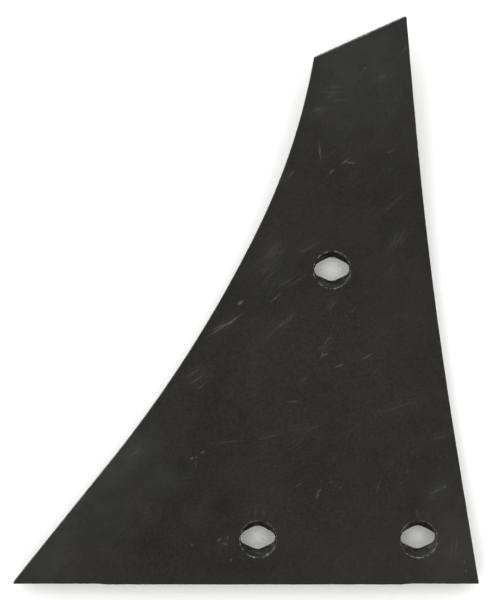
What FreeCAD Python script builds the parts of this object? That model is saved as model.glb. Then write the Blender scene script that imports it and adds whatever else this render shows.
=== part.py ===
# Shin plate of a plough mouldboard: the front section that meets the share.
#
# One hot-formed steel plate, gently dished across its height, with three countersunk
# holes whose oval necks keep the plough bolts from turning.  The plate lies on its
# bowed back with its working face up.  +X runs along the share edge, +Y runs up the
# plate from the share edge to the slanted top, and +Z leaves the working face.
# All lengths are in millimetres and all angles in degrees.

import FreeCAD, Part
import math
import os

import Sketcher
from FreeCAD import Placement, Rotation, Vector

SIZES = {
    # The plate and its bend.  The lowest line of the bend runs parallel to the share
    # edge, under the plate's centre of mass.
    "plate_thickness": 8.0,
    "bend_radius": 2000.0,
    "bend_line_height": 137.2,
    # The outline, seen square to the working face: the share edge at the bottom, the
    # long shin edge on its right, the short slanted top and the long wing edge.
    "share_edge_length": 330.8,
    "shin_height": 397.0,
    "shin_top_inset": 55.4,
    "top_edge_length": 69.0,
    "top_edge_angle": 24.2,
    # The shin edge is straight at both ends and slightly hollow between them.
    "shin_foot_straight": 106.5,
    "shin_head_straight": 67.0,
    "shin_hollow_angle": 3.5,
    # The wing edge is a straight run and two tangent arcs.  Its directions at the foot
    # and at the head are measured from the chord between its two corners.
    "wing_straight_length": 110.0,
    "wing_foot_angle": 8.9,
    "wing_lower_arc_angle": 13.0,
    "wing_head_angle": 20.1,
    # Blunt corners and the worn front arris.
    "corner_rounding": 0.8,
    "front_edge_rounding": 0.6,
    # Places of the bolt holes, from the share edge and from its shin end.
    "lower_hole_height": 32.1,
    "upper_hole_height": 222.7,
    "shin_hole_inset": 42.8,
    "wing_hole_inset": 156.3,
    "upper_hole_inset": 104.7,
    # The two lower necks were punched a little off their seats' centres.
    "lower_neck_shift_to_wing": 0.35,
    "shin_neck_shift_up": 0.7,
    "wing_neck_shift_up": 0.4,
    # One bolt hole: a conical seat for the head and an oval neck through the plate.
    "head_seat_diameter": 26.0,
    "head_seat_angle": 90.0,
    "neck_length": 25.0,
    "neck_width": 16.6,
    "neck_end_radius": 5.2,
    "neck_side_radius": 7.8,
}

# How far a cut runs past what it cuts, and how far a seat's cone starts above the face.
OVERRUN = "2 * Sizes.plate_thickness"
CLEAR_OF_FACE = "Sizes.plate_thickness / 4"

# Places on the plate, from the middle of the share edge and from the bend line.
SHARE_HALF = "Sizes.share_edge_length / 2"
SHARE_DROP = "Sizes.bend_line_height"
SHIN_TOP_X = "Sizes.share_edge_length / 2 - Sizes.shin_top_inset"
SHIN_TOP_Y = "Sizes.shin_height - Sizes.bend_line_height"
WING_TOP_X = f"{SHIN_TOP_X} - Sizes.top_edge_length * cos(Sizes.top_edge_angle * 1 deg)"
WING_TOP_Y = f"{SHIN_TOP_Y} - Sizes.top_edge_length * sin(Sizes.top_edge_angle * 1 deg)"

# The plate's left side is the wing side, and its right side the shin side.
WING_SIDE = False
SHIN_SIDE = True

# A sketch numbers the points of a line or an arc in this order, and its own axes
# downwards from -1.  The first point of the X axis is the sketch's origin.
START, END, CENTRE = range(1, 4)
X_AXIS, Y_AXIS = range(-1, -3, -1)
ORIGIN = (X_AXIS, START)


def make_size_sheet(doc):
    """The spreadsheet that holds every driving dimension under its own alias."""
    sheet = doc.addObject("Spreadsheet::Sheet", "Sizes")
    for row, (name, value) in enumerate(SIZES.items(), start=1):
        sheet.set(f"A{row}", name)
        sheet.set(f"B{row}", str(value))
        sheet.setAlias(f"B{row}", name)
    doc.recompute()


def value_of(expression):
    """The present value of an expression over the sheet, in millimetres or degrees."""
    result = FreeCAD.ActiveDocument.Sizes.evalExpression(expression)
    return getattr(result, "Value", result)


def along(start, angle, distance):
    """The point at a distance from the start, at an angle in degrees from +X."""
    turn = math.radians(angle)
    return (start[0] + distance * math.cos(turn), start[1] + distance * math.sin(turn))


def direction(start, end):
    """The angle in degrees from +X at which the end lies from the start."""
    return math.degrees(math.atan2(end[1] - start[1], end[0] - start[0]))


def origin_plane(body, role):
    """The body's own origin plane of that role."""
    return next(item for item in body.Origin.OriginFeatures if item.Role == role)


def add_sketch(body, name, role):
    """A sketch of that name, flat on one of the body's origin planes."""
    sketch = body.newObject("Sketcher::SketchObject", name)
    sketch.AttachmentSupport = [(origin_plane(body, role), "")]
    sketch.MapMode = "FlatFace"
    return sketch


def add_line(sketch, start, end, construction=False):
    line = Part.LineSegment(Vector(*start, 0), Vector(*end, 0))
    return sketch.addGeometry(line, construction)


def add_arc(sketch, centre, radius, start_angle, end_angle):
    """A counter-clockwise arc, with its angles in degrees from the sketch's X axis."""
    circle = Part.Circle(Vector(*centre, 0), Vector(0, 0, 1), radius)
    arc = Part.ArcOfCircle(circle, math.radians(start_angle), math.radians(end_angle))
    return sketch.addGeometry(arc, False)


def tie(sketch, kind, *items):
    """A geometric constraint, such as a coincidence or a tangency."""
    sketch.addConstraint(Sketcher.Constraint(kind, *items))


def measure(sketch, name, kind, items, expression):
    """A dimension of the sketch, bound to the spreadsheet by an expression."""
    value = value_of(expression)
    if kind == "Angle":
        value = math.radians(value)
    index = sketch.addConstraint(Sketcher.Constraint(kind, *items, value))
    sketch.renameConstraint(index, name)
    sketch.setExpression("Constraints." + name, expression)


def cut_through(body, sketch, name):
    """Cuts the sketch's area right through the plate, to both sides of the sketch."""
    cut = body.newObject("PartDesign::Pocket", name)
    cut.Profile = sketch
    cut.SideType = "Symmetric"
    cut.Type = "ThroughAll"
    return cut


def add_bent_strip(body):
    """The bent strip that the outline is cut from, square-ended at the share edge."""
    sketch = add_sketch(body, "bend_profile", "YZ_Plane")
    upper_reach = f"{SHIN_TOP_Y} + {OVERRUN}"
    back_radius = "Sizes.bend_radius + Sizes.plate_thickness"
    inner = value_of("Sizes.bend_radius")
    outer = value_of(back_radius)
    centre = (0, outer)
    lower_angle = -90 - math.degrees(math.asin(value_of(SHARE_DROP) / inner))
    upper_angle = -90 + math.degrees(math.asin(value_of(upper_reach) / inner))
    face = add_arc(sketch, centre, inner, lower_angle, upper_angle)
    back = add_arc(sketch, centre, outer, lower_angle, upper_angle)
    tie(sketch, "Coincident", face, CENTRE, back, CENTRE)
    tie(sketch, "PointOnObject", face, CENTRE, Y_AXIS)
    for angle, spot in ((lower_angle, START), (upper_angle, END)):
        square_end = add_line(sketch, along(centre, angle, inner), along(centre, angle, outer))
        tie(sketch, "Coincident", face, spot, square_end, START)
        tie(sketch, "Coincident", back, spot, square_end, END)
        tie(sketch, "PointOnObject", face, CENTRE, square_end)
    measure(sketch, "centre_height", "DistanceY", (*ORIGIN, face, CENTRE), back_radius)
    measure(sketch, "face_radius", "Radius", (face,), "Sizes.bend_radius")
    measure(sketch, "back_radius", "Radius", (back,), back_radius)
    measure(sketch, "lower_reach", "DistanceX", (face, START, *ORIGIN), SHARE_DROP)
    measure(sketch, "upper_reach", "DistanceX", (*ORIGIN, face, END), upper_reach)

    strip = body.newObject("PartDesign::Pad", "bent_strip")
    strip.Profile = sketch
    strip.SideType = "Symmetric"
    strip.setExpression("Length", f"Sizes.share_edge_length + 2 * {OVERRUN}")


def edge_corners(side):
    """The first places of a long edge's two corners, on the share edge and at the top."""
    foot_x = value_of(SHARE_HALF)
    foot_y = -value_of(SHARE_DROP)
    if side is SHIN_SIDE:
        return (foot_x, foot_y), (value_of(SHIN_TOP_X), value_of(SHIN_TOP_Y))
    return (-foot_x, foot_y), (value_of(WING_TOP_X), value_of(WING_TOP_Y))


def add_edge_chord(sketch, side):
    """A construction line between a long edge's two corners, placed by the sheet."""
    foot, head = edge_corners(side)
    chord = add_line(sketch, foot, head, construction=True)
    if side is SHIN_SIDE:
        measure(sketch, "foot_x", "DistanceX", (*ORIGIN, chord, START), SHARE_HALF)
        measure(sketch, "head_x", "DistanceX", (*ORIGIN, chord, END), SHIN_TOP_X)
        measure(sketch, "head_y", "DistanceY", (*ORIGIN, chord, END), SHIN_TOP_Y)
    else:
        measure(sketch, "foot_x", "DistanceX", (chord, START, *ORIGIN), SHARE_HALF)
        measure(sketch, "head_x", "DistanceX", (*ORIGIN, chord, END), WING_TOP_X)
        measure(sketch, "head_y", "DistanceY", (*ORIGIN, chord, END), WING_TOP_Y)
    measure(sketch, "foot_y", "DistanceY", (chord, START, *ORIGIN), SHARE_DROP)
    return chord


def trim_limits():
    """How high and how low a long edge's cut reaches, past both ends of the strip."""
    lower = f"{SHARE_DROP} + {OVERRUN}"
    upper = f"{SHIN_TOP_Y} + 2 * {OVERRUN}"
    return lower, upper


def close_side_loop(sketch, side, low_end, low, high_end, high):
    """Closes a long edge's cut round its outer side.

    The ends are the points of the edge's own geometry where the loop meets it, each
    followed by its first place.
    """
    half_span = f"{SHARE_HALF} + 2 * {OVERRUN}"
    outer_x = value_of(half_span) if side is SHIN_SIDE else -value_of(half_span)
    bottom = add_line(sketch, low, (outer_x, low[1]))
    outside = add_line(sketch, (outer_x, low[1]), (outer_x, high[1]))
    top = add_line(sketch, (outer_x, high[1]), high)
    tie(sketch, "Coincident", *low_end, bottom, START)
    tie(sketch, "Coincident", bottom, END, outside, START)
    tie(sketch, "Coincident", outside, END, top, START)
    tie(sketch, "Coincident", top, END, *high_end)
    tie(sketch, "Horizontal", bottom)
    tie(sketch, "Vertical", outside)
    tie(sketch, "Horizontal", top)
    span = (*ORIGIN, outside, START) if side is SHIN_SIDE else (outside, START, *ORIGIN)
    lower, upper = trim_limits()
    measure(sketch, "outer_reach", "DistanceX", span, half_span)
    measure(sketch, "lower_reach", "DistanceY", (*low_end, *ORIGIN), lower)
    measure(sketch, "upper_reach", "DistanceY", (*ORIGIN, *high_end), upper)


def tangent_reach(chord, first_run, last_run, turn):
    """How far the meeting point of two runs lies beyond each of them.

    The runs start at the ends of the chord and turn into each other by that angle.  An
    arc between their ends that touches both has the same reach to both.
    """
    lean = 1 + math.cos(math.radians(turn))
    runs = first_run + last_run
    short_by = chord**2 - first_run**2 - last_run**2 - 2 * first_run * last_run * (lean - 1)
    return (math.sqrt((lean * runs) ** 2 + 2 * lean * short_by) - lean * runs) / (2 * lean)


def cut_shin_edge(body):
    """The long shin edge: two straight runs and a slightly hollow arc that joins them."""
    sketch = add_sketch(body, "shin_edge_profile", "XY_Plane")
    foot, head = edge_corners(SHIN_SIDE)
    chord_length = math.dist(foot, head)
    foot_run = value_of("Sizes.shin_foot_straight")
    head_run = value_of("Sizes.shin_head_straight")
    turn = value_of("Sizes.shin_hollow_angle")
    reach = tangent_reach(chord_length, foot_run, head_run, turn)
    lean = math.degrees(math.asin((head_run + reach) * math.sin(math.radians(turn)) / chord_length))
    foot_angle = direction(foot, head) + lean
    head_angle = foot_angle - turn
    radius = reach / math.tan(math.radians(turn / 2))
    overrun = value_of(OVERRUN)
    low = along(foot, foot_angle, -overrun / math.sin(math.radians(foot_angle)))
    high = along(head, head_angle, 2 * overrun / math.sin(math.radians(head_angle)))
    arc_low = along(foot, foot_angle, foot_run)
    arc_high = along(head, head_angle, -head_run)
    centre = along(arc_low, foot_angle - 90, radius)

    lower = add_line(sketch, low, arc_low)
    hollow = add_arc(sketch, centre, radius, head_angle + 90, foot_angle + 90)
    upper = add_line(sketch, arc_high, high)
    chord = add_edge_chord(sketch, SHIN_SIDE)
    tie(sketch, "Tangent", lower, END, hollow, END)
    tie(sketch, "Tangent", hollow, START, upper, START)
    tie(sketch, "PointOnObject", chord, START, lower)
    tie(sketch, "PointOnObject", chord, END, upper)
    measure(sketch, "foot_run", "Distance", (chord, START, lower, END), "Sizes.shin_foot_straight")
    measure(sketch, "head_run", "Distance", (upper, START, chord, END), "Sizes.shin_head_straight")
    measure(sketch, "hollow_angle", "Angle", (hollow,), "Sizes.shin_hollow_angle * 1 deg")
    close_side_loop(sketch, SHIN_SIDE, (lower, START), low, (upper, END), high)
    cut_through(body, sketch, "shin_edge")


def tangent_radii(start, end, first, middle, last):
    """The radii of two tangent arcs that leave the start and arrive at the end.

    The angles are the directions of travel at the start, where the arcs meet and at
    the end, each turned to the left of the one before.
    """
    first, middle, last = (math.radians(angle) for angle in (first, middle, last))
    lower_x = math.sin(middle) - math.sin(first)
    lower_y = math.cos(first) - math.cos(middle)
    upper_x = math.sin(last) - math.sin(middle)
    upper_y = math.cos(middle) - math.cos(last)
    reach_x = end[0] - start[0]
    reach_y = end[1] - start[1]
    spread = lower_x * upper_y - lower_y * upper_x
    lower_radius = (reach_x * upper_y - reach_y * upper_x) / spread
    upper_radius = (lower_x * reach_y - lower_y * reach_x) / spread
    return lower_radius, upper_radius


def cut_wing_edge(body):
    """The long edge that meets the mouldboard: a straight run and two tangent arcs."""
    sketch = add_sketch(body, "wing_edge_profile", "XY_Plane")
    foot, head = edge_corners(WING_SIDE)
    chord_angle = direction(foot, head)
    run_angle = chord_angle - value_of("Sizes.wing_foot_angle")
    meet_angle = run_angle + value_of("Sizes.wing_lower_arc_angle")
    head_angle = chord_angle + value_of("Sizes.wing_head_angle")
    upper = trim_limits()[1]
    overrun = value_of(OVERRUN)
    run_low = along(foot, run_angle, -overrun / math.sin(math.radians(run_angle)))
    run_high = along(foot, run_angle, value_of("Sizes.wing_straight_length"))
    radii = tangent_radii(run_high, head, run_angle, meet_angle, head_angle)
    lower_centre = along(run_high, run_angle + 90, radii[0])
    upper_centre = along(head, head_angle + 90, radii[1])
    # The upper arc runs on past the top corner by the overrun, and then straight up.
    run_on = 2 * math.degrees(math.asin(overrun / 2 / radii[1]))
    past_head = along(upper_centre, head_angle - 90 + run_on, radii[1])
    high = (past_head[0], value_of(upper))

    run = add_line(sketch, run_low, run_high)
    lower_arc = add_arc(sketch, lower_centre, radii[0], run_angle - 90, meet_angle - 90)
    upper_arc = add_arc(sketch, upper_centre, radii[1], meet_angle - 90, head_angle - 90 + run_on)
    riser = add_line(sketch, past_head, high)
    chord = add_edge_chord(sketch, WING_SIDE)
    tie(sketch, "Tangent", run, END, lower_arc, START)
    tie(sketch, "Tangent", lower_arc, END, upper_arc, START)
    tie(sketch, "Coincident", upper_arc, END, riser, START)
    tie(sketch, "Vertical", riser)
    tie(sketch, "PointOnObject", chord, START, run)
    tie(sketch, "PointOnObject", chord, END, upper_arc)
    # A tangent at the top corner and the radius to it carry the edge's last direction.
    tangent = add_line(sketch, head, along(head, head_angle, overrun), construction=True)
    radius_line = add_line(sketch, upper_centre, head, construction=True)
    tie(sketch, "Coincident", upper_arc, CENTRE, radius_line, START)
    tie(sketch, "Coincident", chord, END, radius_line, END)
    tie(sketch, "Coincident", chord, END, tangent, START)
    tie(sketch, "Perpendicular", radius_line, tangent)
    measure(sketch, "tangent_length", "Distance", (tangent,), OVERRUN)
    measure(sketch, "foot_angle", "Angle", (run, chord), "Sizes.wing_foot_angle * 1 deg")
    measure(sketch, "head_angle", "Angle", (chord, tangent), "Sizes.wing_head_angle * 1 deg")
    measure(sketch, "arc_angle", "Angle", (lower_arc,), "Sizes.wing_lower_arc_angle * 1 deg")
    measure(sketch, "run_length", "Distance", (chord, START, run, END), "Sizes.wing_straight_length")
    measure(sketch, "run_on", "Distance", (chord, END, upper_arc, END), OVERRUN)
    close_side_loop(sketch, WING_SIDE, (run, START), run_low, (riser, END), high)
    cut_through(body, sketch, "wing_edge")


def stand_on_face(item, across, up, lift="0", slide="0"):
    """Sets an attached object square on the bent face, at a place on the plate.

    The place is given by expressions, across from the middle of the share edge and up
    from the bend line.  The lift is the height above the face, along its normal, and
    the slide is the way up the slope that the face has there.
    """
    turn = f"asin(({up}) / Sizes.bend_radius)"
    face_height = f"Sizes.plate_thickness + Sizes.bend_radius * (1 - cos({turn}))"
    item.AttachmentOffset = Placement(Vector(0, 0, 0), Rotation(Vector(1, 0, 0), 1))
    item.setExpression(".AttachmentOffset.Base.x", across)
    run = f"({slide}) * cos({turn}) - ({lift}) * sin({turn})"
    rise = f"({slide}) * sin({turn}) + ({lift}) * cos({turn})"
    item.setExpression(".AttachmentOffset.Base.y", f"({up}) + {run}")
    item.setExpression(".AttachmentOffset.Base.z", f"{face_height} + {rise}")
    item.setExpression(".AttachmentOffset.Rotation.Angle", turn)


def cut_top_edge(body):
    """The slanted top edge, cut square to the face through the top of the shin edge."""
    sketch = add_sketch(body, "top_edge_profile", "XY_Plane")
    stand_on_face(sketch, SHIN_TOP_X, SHIN_TOP_Y)
    reach = value_of("Sizes.share_edge_length")
    rise = reach * math.tan(math.radians(value_of("Sizes.top_edge_angle")))
    corners = [(-reach, -rise), (reach, rise), (reach, rise + reach), (-reach, rise + reach)]
    sides = [add_line(sketch, corners[i], corners[(i + 1) % 4]) for i in range(4)]
    for i in range(4):
        tie(sketch, "Coincident", sides[i], END, sides[(i + 1) % 4], START)
    edge, right, roof, left = sides
    tie(sketch, "PointOnObject", *ORIGIN, edge)
    tie(sketch, "Vertical", right)
    tie(sketch, "Horizontal", roof)
    tie(sketch, "Vertical", left)
    measure(sketch, "slope", "Angle", (edge,), "Sizes.top_edge_angle * 1 deg")
    measure(sketch, "left_reach", "DistanceX", (edge, START, *ORIGIN), "Sizes.share_edge_length")
    measure(sketch, "right_reach", "DistanceX", (*ORIGIN, edge, END), "Sizes.share_edge_length")
    measure(sketch, "roof_reach", "DistanceY", (right, START, right, END), "Sizes.share_edge_length")
    return cut_through(body, sketch, "top_edge")


def draw_neck(sketch):
    """The oval neck, longer along the share edge: four arcs joined by tangent flats."""
    end_offset = "Sizes.neck_length / 2 - Sizes.neck_end_radius"
    side_offset = "Sizes.neck_width / 2 - Sizes.neck_side_radius"
    end_radius = value_of("Sizes.neck_end_radius")
    side_radius = value_of("Sizes.neck_side_radius")
    end_x = value_of(end_offset)
    side_y = value_of(side_offset)
    # The flat between the right end and the upper side faces this way from both arcs.
    skew = math.degrees(math.asin((end_radius - side_radius) / math.hypot(end_x, side_y)))
    fan = 90 - math.degrees(math.atan2(side_y, end_x)) + skew
    facings = [fan, 180 - fan, 180 + fan, 360 - fan]
    centres = [(end_x, 0), (0, side_y), (-end_x, 0), (0, -side_y)]
    radii = [end_radius, side_radius, end_radius, side_radius]
    arcs = [
        add_arc(sketch, centres[i], radii[i], facings[i - 1] - (360 if i == 0 else 0), facings[i])
        for i in range(4)
    ]
    for i in range(4):
        after = (i + 1) % 4
        start = along(centres[i], facings[i], radii[i])
        end = along(centres[after], facings[i], radii[after])
        flat = add_line(sketch, start, end)
        tie(sketch, "Tangent", arcs[i], END, flat, START)
        tie(sketch, "Tangent", flat, END, arcs[after], START)
    right, upper, left, lower = arcs
    tie(sketch, "Symmetric", right, CENTRE, left, CENTRE, *ORIGIN)
    tie(sketch, "Symmetric", upper, CENTRE, lower, CENTRE, *ORIGIN)
    tie(sketch, "PointOnObject", right, CENTRE, X_AXIS)
    tie(sketch, "PointOnObject", upper, CENTRE, Y_AXIS)
    tie(sketch, "Equal", right, left)
    tie(sketch, "Equal", upper, lower)
    measure(sketch, "end_radius", "Radius", (right,), "Sizes.neck_end_radius")
    measure(sketch, "side_radius", "Radius", (upper,), "Sizes.neck_side_radius")
    measure(sketch, "end_offset", "DistanceX", (*ORIGIN, right, CENTRE), end_offset)
    measure(sketch, "side_offset", "DistanceY", (*ORIGIN, upper, CENTRE), side_offset)


def cut_bolt_hole(body, name, inset, height, shift_to_wing="0", shift_up="0"):
    """A bolt hole: a cone for the head, square to the face, and the neck through it.

    The shifts say how far the neck was punched off the middle of the seat.
    """
    across = f"{SHARE_HALF} - Sizes.{inset}"
    up = f"Sizes.{height} - Sizes.bend_line_height"
    half_angle = "Sizes.head_seat_angle / 2 * 1 deg"
    apex_depth = f"Sizes.head_seat_diameter / 2 / tan({half_angle})"

    seat = body.newObject("PartDesign::SubtractiveCone", name + "_head_seat")
    seat.AttachmentSupport = [(origin_plane(body, "XY_Plane"), "")]
    seat.MapMode = "FlatFace"
    stand_on_face(seat, across, up, lift=f"-({apex_depth})")
    seat.Radius1 = 0
    seat.setExpression("Radius2", f"({apex_depth} + {CLEAR_OF_FACE}) * tan({half_angle})")
    seat.setExpression("Height", f"{apex_depth} + {CLEAR_OF_FACE}")

    sketch = add_sketch(body, name + "_neck_profile", "XY_Plane")
    stand_on_face(sketch, f"{across} - ({shift_to_wing})", up, slide=shift_up)
    draw_neck(sketch)
    cut_through(body, sketch, name + "_neck")


def bent_face(shape, radius):
    """The face of the plate that is bent to that radius, the working face or the back."""
    return next(
        face
        for face in shape.Faces
        if isinstance(face.Surface, Part.Cylinder) and abs(face.Surface.Radius - radius) < 1e-6
    )


def edge_names(shape, edges):
    """The names by which a fillet knows those edges of the shape."""
    return [
        f"Edge{number}"
        for number, edge in enumerate(shape.Edges, start=1)
        if any(edge.isSame(other) for other in edges)
    ]


def touches(edge, points):
    """Whether an end of the edge is one of the points."""
    return any(end.isSame(point) for end in edge.Vertexes for point in points)


def round_corners(body, base):
    """Blunts the four corners of the outline, through the plate's thickness."""
    shape = base.Shape
    face = bent_face(shape, value_of("Sizes.bend_radius"))
    back = bent_face(shape, value_of("Sizes.bend_radius + Sizes.plate_thickness"))
    upright = [
        edge
        for edge in shape.Edges
        if touches(edge, face.OuterWire.Vertexes) and touches(edge, back.OuterWire.Vertexes)
    ]
    rounding = body.newObject("PartDesign::Fillet", "blunt_corners")
    rounding.Base = (base, edge_names(shape, upright))
    rounding.setExpression("Radius", "Sizes.corner_rounding")
    return rounding


def round_front_edge(body, base):
    """Rounds the arris that the working face makes with the outline."""
    face = bent_face(base.Shape, value_of("Sizes.bend_radius"))
    rounding = body.newObject("PartDesign::Fillet", "front_arris")
    rounding.Base = (base, edge_names(base.Shape, face.OuterWire.Edges))
    rounding.setExpression("Radius", "Sizes.front_edge_rounding")


def make_shin_plate(doc):
    """The whole plate as one body, with its origin under the middle of its box."""
    body = doc.addObject("PartDesign::Body", "shin_plate")
    body.Label = "shin_plate"
    add_bent_strip(body)
    cut_shin_edge(body)
    cut_wing_edge(body)
    top = cut_top_edge(body)
    doc.recompute()
    corners = round_corners(body, top)
    doc.recompute()
    round_front_edge(body, corners)
    for side in ("shin", "wing"):
        cut_bolt_hole(
            body,
            f"{side}_hole",
            f"{side}_hole_inset",
            "lower_hole_height",
            shift_to_wing="Sizes.lower_neck_shift_to_wing",
            shift_up=f"Sizes.{side}_neck_shift_up",
        )
    cut_bolt_hole(body, "upper_hole", "upper_hole_inset", "upper_hole_height")
    # The end faces lean outwards with the bend, so the box is a little taller.
    box_growth = "1 + Sizes.plate_thickness / Sizes.bend_radius"
    bend_line_y = "Sizes.bend_line_height - Sizes.shin_height / 2"
    body.setExpression(".Placement.Base.y", f"({bend_line_y}) * ({box_growth})")
    doc.recompute()
    return body


def check_document(doc):
    """Stops with a plain message if an object failed or a sketch is left loose."""
    for item in doc.Objects:
        if {"Invalid", "Error"} & set(item.State):
            raise RuntimeError(f"{item.Label} failed: {item.State}")
        if item.TypeId == "Sketcher::SketchObject" and not item.FullyConstrained:
            raise RuntimeError(f"{item.Label} isn't fully constrained")


def main():
    doc = FreeCAD.newDocument("mouldboard_front_section")
    make_size_sheet(doc)
    plate = make_shin_plate(doc)
    check_document(doc)
    shape = plate.Shape
    if shape.isNull() or not shape.isValid() or len(shape.Solids) != 1:
        raise RuntimeError("The plate is not one valid solid")
    os.makedirs("parts", exist_ok=True)
    shape.exportStep(f"parts/{plate.Label}.step")
    print(f"{plate.Label}: {shape.Volume / 1000:.1f} cm3 in one solid")


main()
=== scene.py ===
"""The looks of a plough's shin plate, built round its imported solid.

The plate is made again as one fine mesh from the solid's own sizes, with worn arrises,
rolled seat rims, a torch-cut edge and a faint warp, and is dressed as blackened steel.
Sizes are in millimetres and degrees until a mesh, a light or the camera is placed.
"""

import logging
import math
from dataclasses import dataclass, field, replace
from enum import Enum

import bmesh
import bpy
import numpy as np
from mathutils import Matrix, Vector
from mathutils.geometry import delaunay_2d_cdt


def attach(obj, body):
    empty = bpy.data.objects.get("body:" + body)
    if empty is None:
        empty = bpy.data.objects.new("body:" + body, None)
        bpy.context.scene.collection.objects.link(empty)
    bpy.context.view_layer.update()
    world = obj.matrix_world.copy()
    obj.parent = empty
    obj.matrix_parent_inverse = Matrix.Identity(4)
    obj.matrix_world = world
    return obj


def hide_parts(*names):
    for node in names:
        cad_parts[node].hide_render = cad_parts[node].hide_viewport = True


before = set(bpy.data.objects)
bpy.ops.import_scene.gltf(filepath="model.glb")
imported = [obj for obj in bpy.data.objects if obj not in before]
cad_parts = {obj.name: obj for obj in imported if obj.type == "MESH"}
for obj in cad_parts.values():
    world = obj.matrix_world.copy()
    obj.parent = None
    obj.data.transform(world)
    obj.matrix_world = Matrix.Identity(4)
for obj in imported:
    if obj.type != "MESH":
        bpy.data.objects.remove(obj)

LOG = logging.getLogger("shin_plate_scene")
MM = 0.001
ARC_POINTS = 900
RUN_POINTS = 500
# Marks and hairlines reach this far along Z, so they are the same at any depth.
THROUGH = 400.0


def srgb(code: str) -> tuple[float, float, float, float]:
    """Turns an sRGB hex colour to linear light.

    Args:
        code: The colour as six hex digits after a hash.

    Returns:
        Red, green, blue and an alpha of one.
    """
    parts = [int(code[i:i + 2], 16) / 255 for i in (1, 3, 5)]
    linear = [p / 12.92 if p <= 0.04045 else ((p + 0.055) / 1.055) ** 2.4 for p in parts]
    return (linear[0], linear[1], linear[2], 1.0)


def ramp(values: np.ndarray, low: float, high: float) -> np.ndarray:
    """A smooth step of the values, from nought at the low one to one at the high one."""
    share = np.clip((values - low) / (high - low), 0.0, 1.0)
    return share * share * (3 - 2 * share)


def direction(heading: float) -> np.ndarray:
    """The unit direction of a heading in radians."""
    return np.array([math.cos(heading), math.sin(heading)])


def arc_path(start: np.ndarray, radius: float, heading: float, end: float) -> np.ndarray:
    """A dense arc in plan.

    Args:
        start: Where it starts.
        radius: Its radius, less than nought where it turns clockwise.
        heading: Its heading at the start, in radians.
        end: Its heading at the end.

    Returns:
        The arc's points, with both ends.
    """
    turns = np.linspace(heading, end, ARC_POINTS)
    spokes = np.stack([np.sin(turns), -np.cos(turns)], axis=1)
    return start + radius * (spokes - spokes[0])


class Ripple:
    """A seeded smooth noise along a line or over a plane, made of sines."""

    def __init__(self, seed: int, shortest: float, longest: float, count: int = 14) -> None:
        """Draws the waves.

        Args:
            seed: The seed of the draw.
            shortest: The shortest wave length, in millimetres.
            longest: The longest wave length, in millimetres.
            count: How many waves there are.
        """
        draw = np.random.default_rng(seed)
        lengths = np.exp(draw.uniform(math.log(shortest), math.log(longest), count))
        headings = draw.uniform(0, math.tau, count)
        self.x_rates = math.tau / lengths * np.cos(headings)
        self.y_rates = math.tau / lengths * np.sin(headings)
        self.line_rates = math.tau / lengths
        self.phases = draw.uniform(0, math.tau, count)
        # Two thirds of the waves' own spread, so that most of the sum stays within one.
        self.share = math.sqrt(2 / count) / 1.5

    def over(self, x: np.ndarray, y: np.ndarray) -> np.ndarray:
        """The noise over the plane, mostly between minus one and one.

        Args:
            x: The places' first coordinates, in millimetres.
            y: Their second coordinates.

        Returns:
            One value for each place.
        """
        waves = np.sin(np.outer(x, self.x_rates) + np.outer(y, self.y_rates) + self.phases)
        return waves.sum(axis=1) * self.share

    def along(self, distance: np.ndarray) -> np.ndarray:
        """The noise along a line, mostly between minus one and one."""
        return np.sin(np.outer(distance, self.line_rates) + self.phases).sum(axis=1) * self.share


class Zone(Enum):
    """The plate's surfaces, in the order of its material slots."""

    FACE = 0
    EDGE = 1
    SEAT = 2
    BACK = 3


class Side(Enum):
    """The sides of the outline, counter-clockwise from the share edge."""

    SHARE = 0
    SHIN = 1
    TOP = 2
    WING = 3


@dataclass(frozen=True)
class Mark:
    """A mark on the plate, as a long soft spot.

    Its place, length and width are in millimetres, its angle from +X is in degrees, and
    its strength goes from nought to one.
    """

    x: float
    y: float
    angle: float
    length: float
    width: float
    strength: float


@dataclass(frozen=True)
class PlateSizes:
    """The driving sizes of the plate and its bolt holes, as in its solid."""

    thickness: float = 8.0
    bend_radius: float = 2000.0
    bend_line_height: float = 137.2
    share_edge_length: float = 330.8
    shin_height: float = 397.0
    shin_top_inset: float = 55.4
    shin_foot_straight: float = 106.5
    shin_head_straight: float = 67.0
    shin_hollow_angle: float = 3.5
    top_edge_length: float = 69.0
    top_edge_angle: float = 24.2
    wing_straight_length: float = 110.0
    wing_foot_angle: float = 8.9
    wing_lower_arc_angle: float = 13.0
    wing_head_angle: float = 20.1
    corner_rounding: float = 0.8
    lower_hole_height: float = 32.1
    upper_hole_height: float = 222.7
    shin_hole_inset: float = 42.8
    wing_hole_inset: float = 156.3
    upper_hole_inset: float = 104.7
    lower_neck_shift_to_wing: float = 0.35
    shin_neck_shift_up: float = 0.7
    wing_neck_shift_up: float = 0.4
    head_seat_diameter: float = 26.0
    neck_length: float = 25.0
    neck_width: float = 16.6
    neck_end_radius: float = 5.2
    neck_side_radius: float = 7.8

    @property
    def frame_shift(self) -> float:
        """How far the bend line lies from the frame's origin along Y."""
        growth = 1 + self.thickness / self.bend_radius
        return (self.bend_line_height - self.shin_height / 2) * growth

    @property
    def foot(self) -> tuple[float, float]:
        """The shin edge's corner on the share edge, from the bend line."""
        return self.share_edge_length / 2, -self.bend_line_height

    @property
    def head(self) -> tuple[float, float]:
        """The shin edge's corner at the top."""
        return (
            self.share_edge_length / 2 - self.shin_top_inset,
            self.shin_height - self.bend_line_height,
        )

    @property
    def wing_head(self) -> tuple[float, float]:
        """The wing edge's corner at the top."""
        turn = math.radians(self.top_edge_angle)
        return (
            self.head[0] - self.top_edge_length * math.cos(turn),
            self.head[1] - self.top_edge_length * math.sin(turn),
        )


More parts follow.
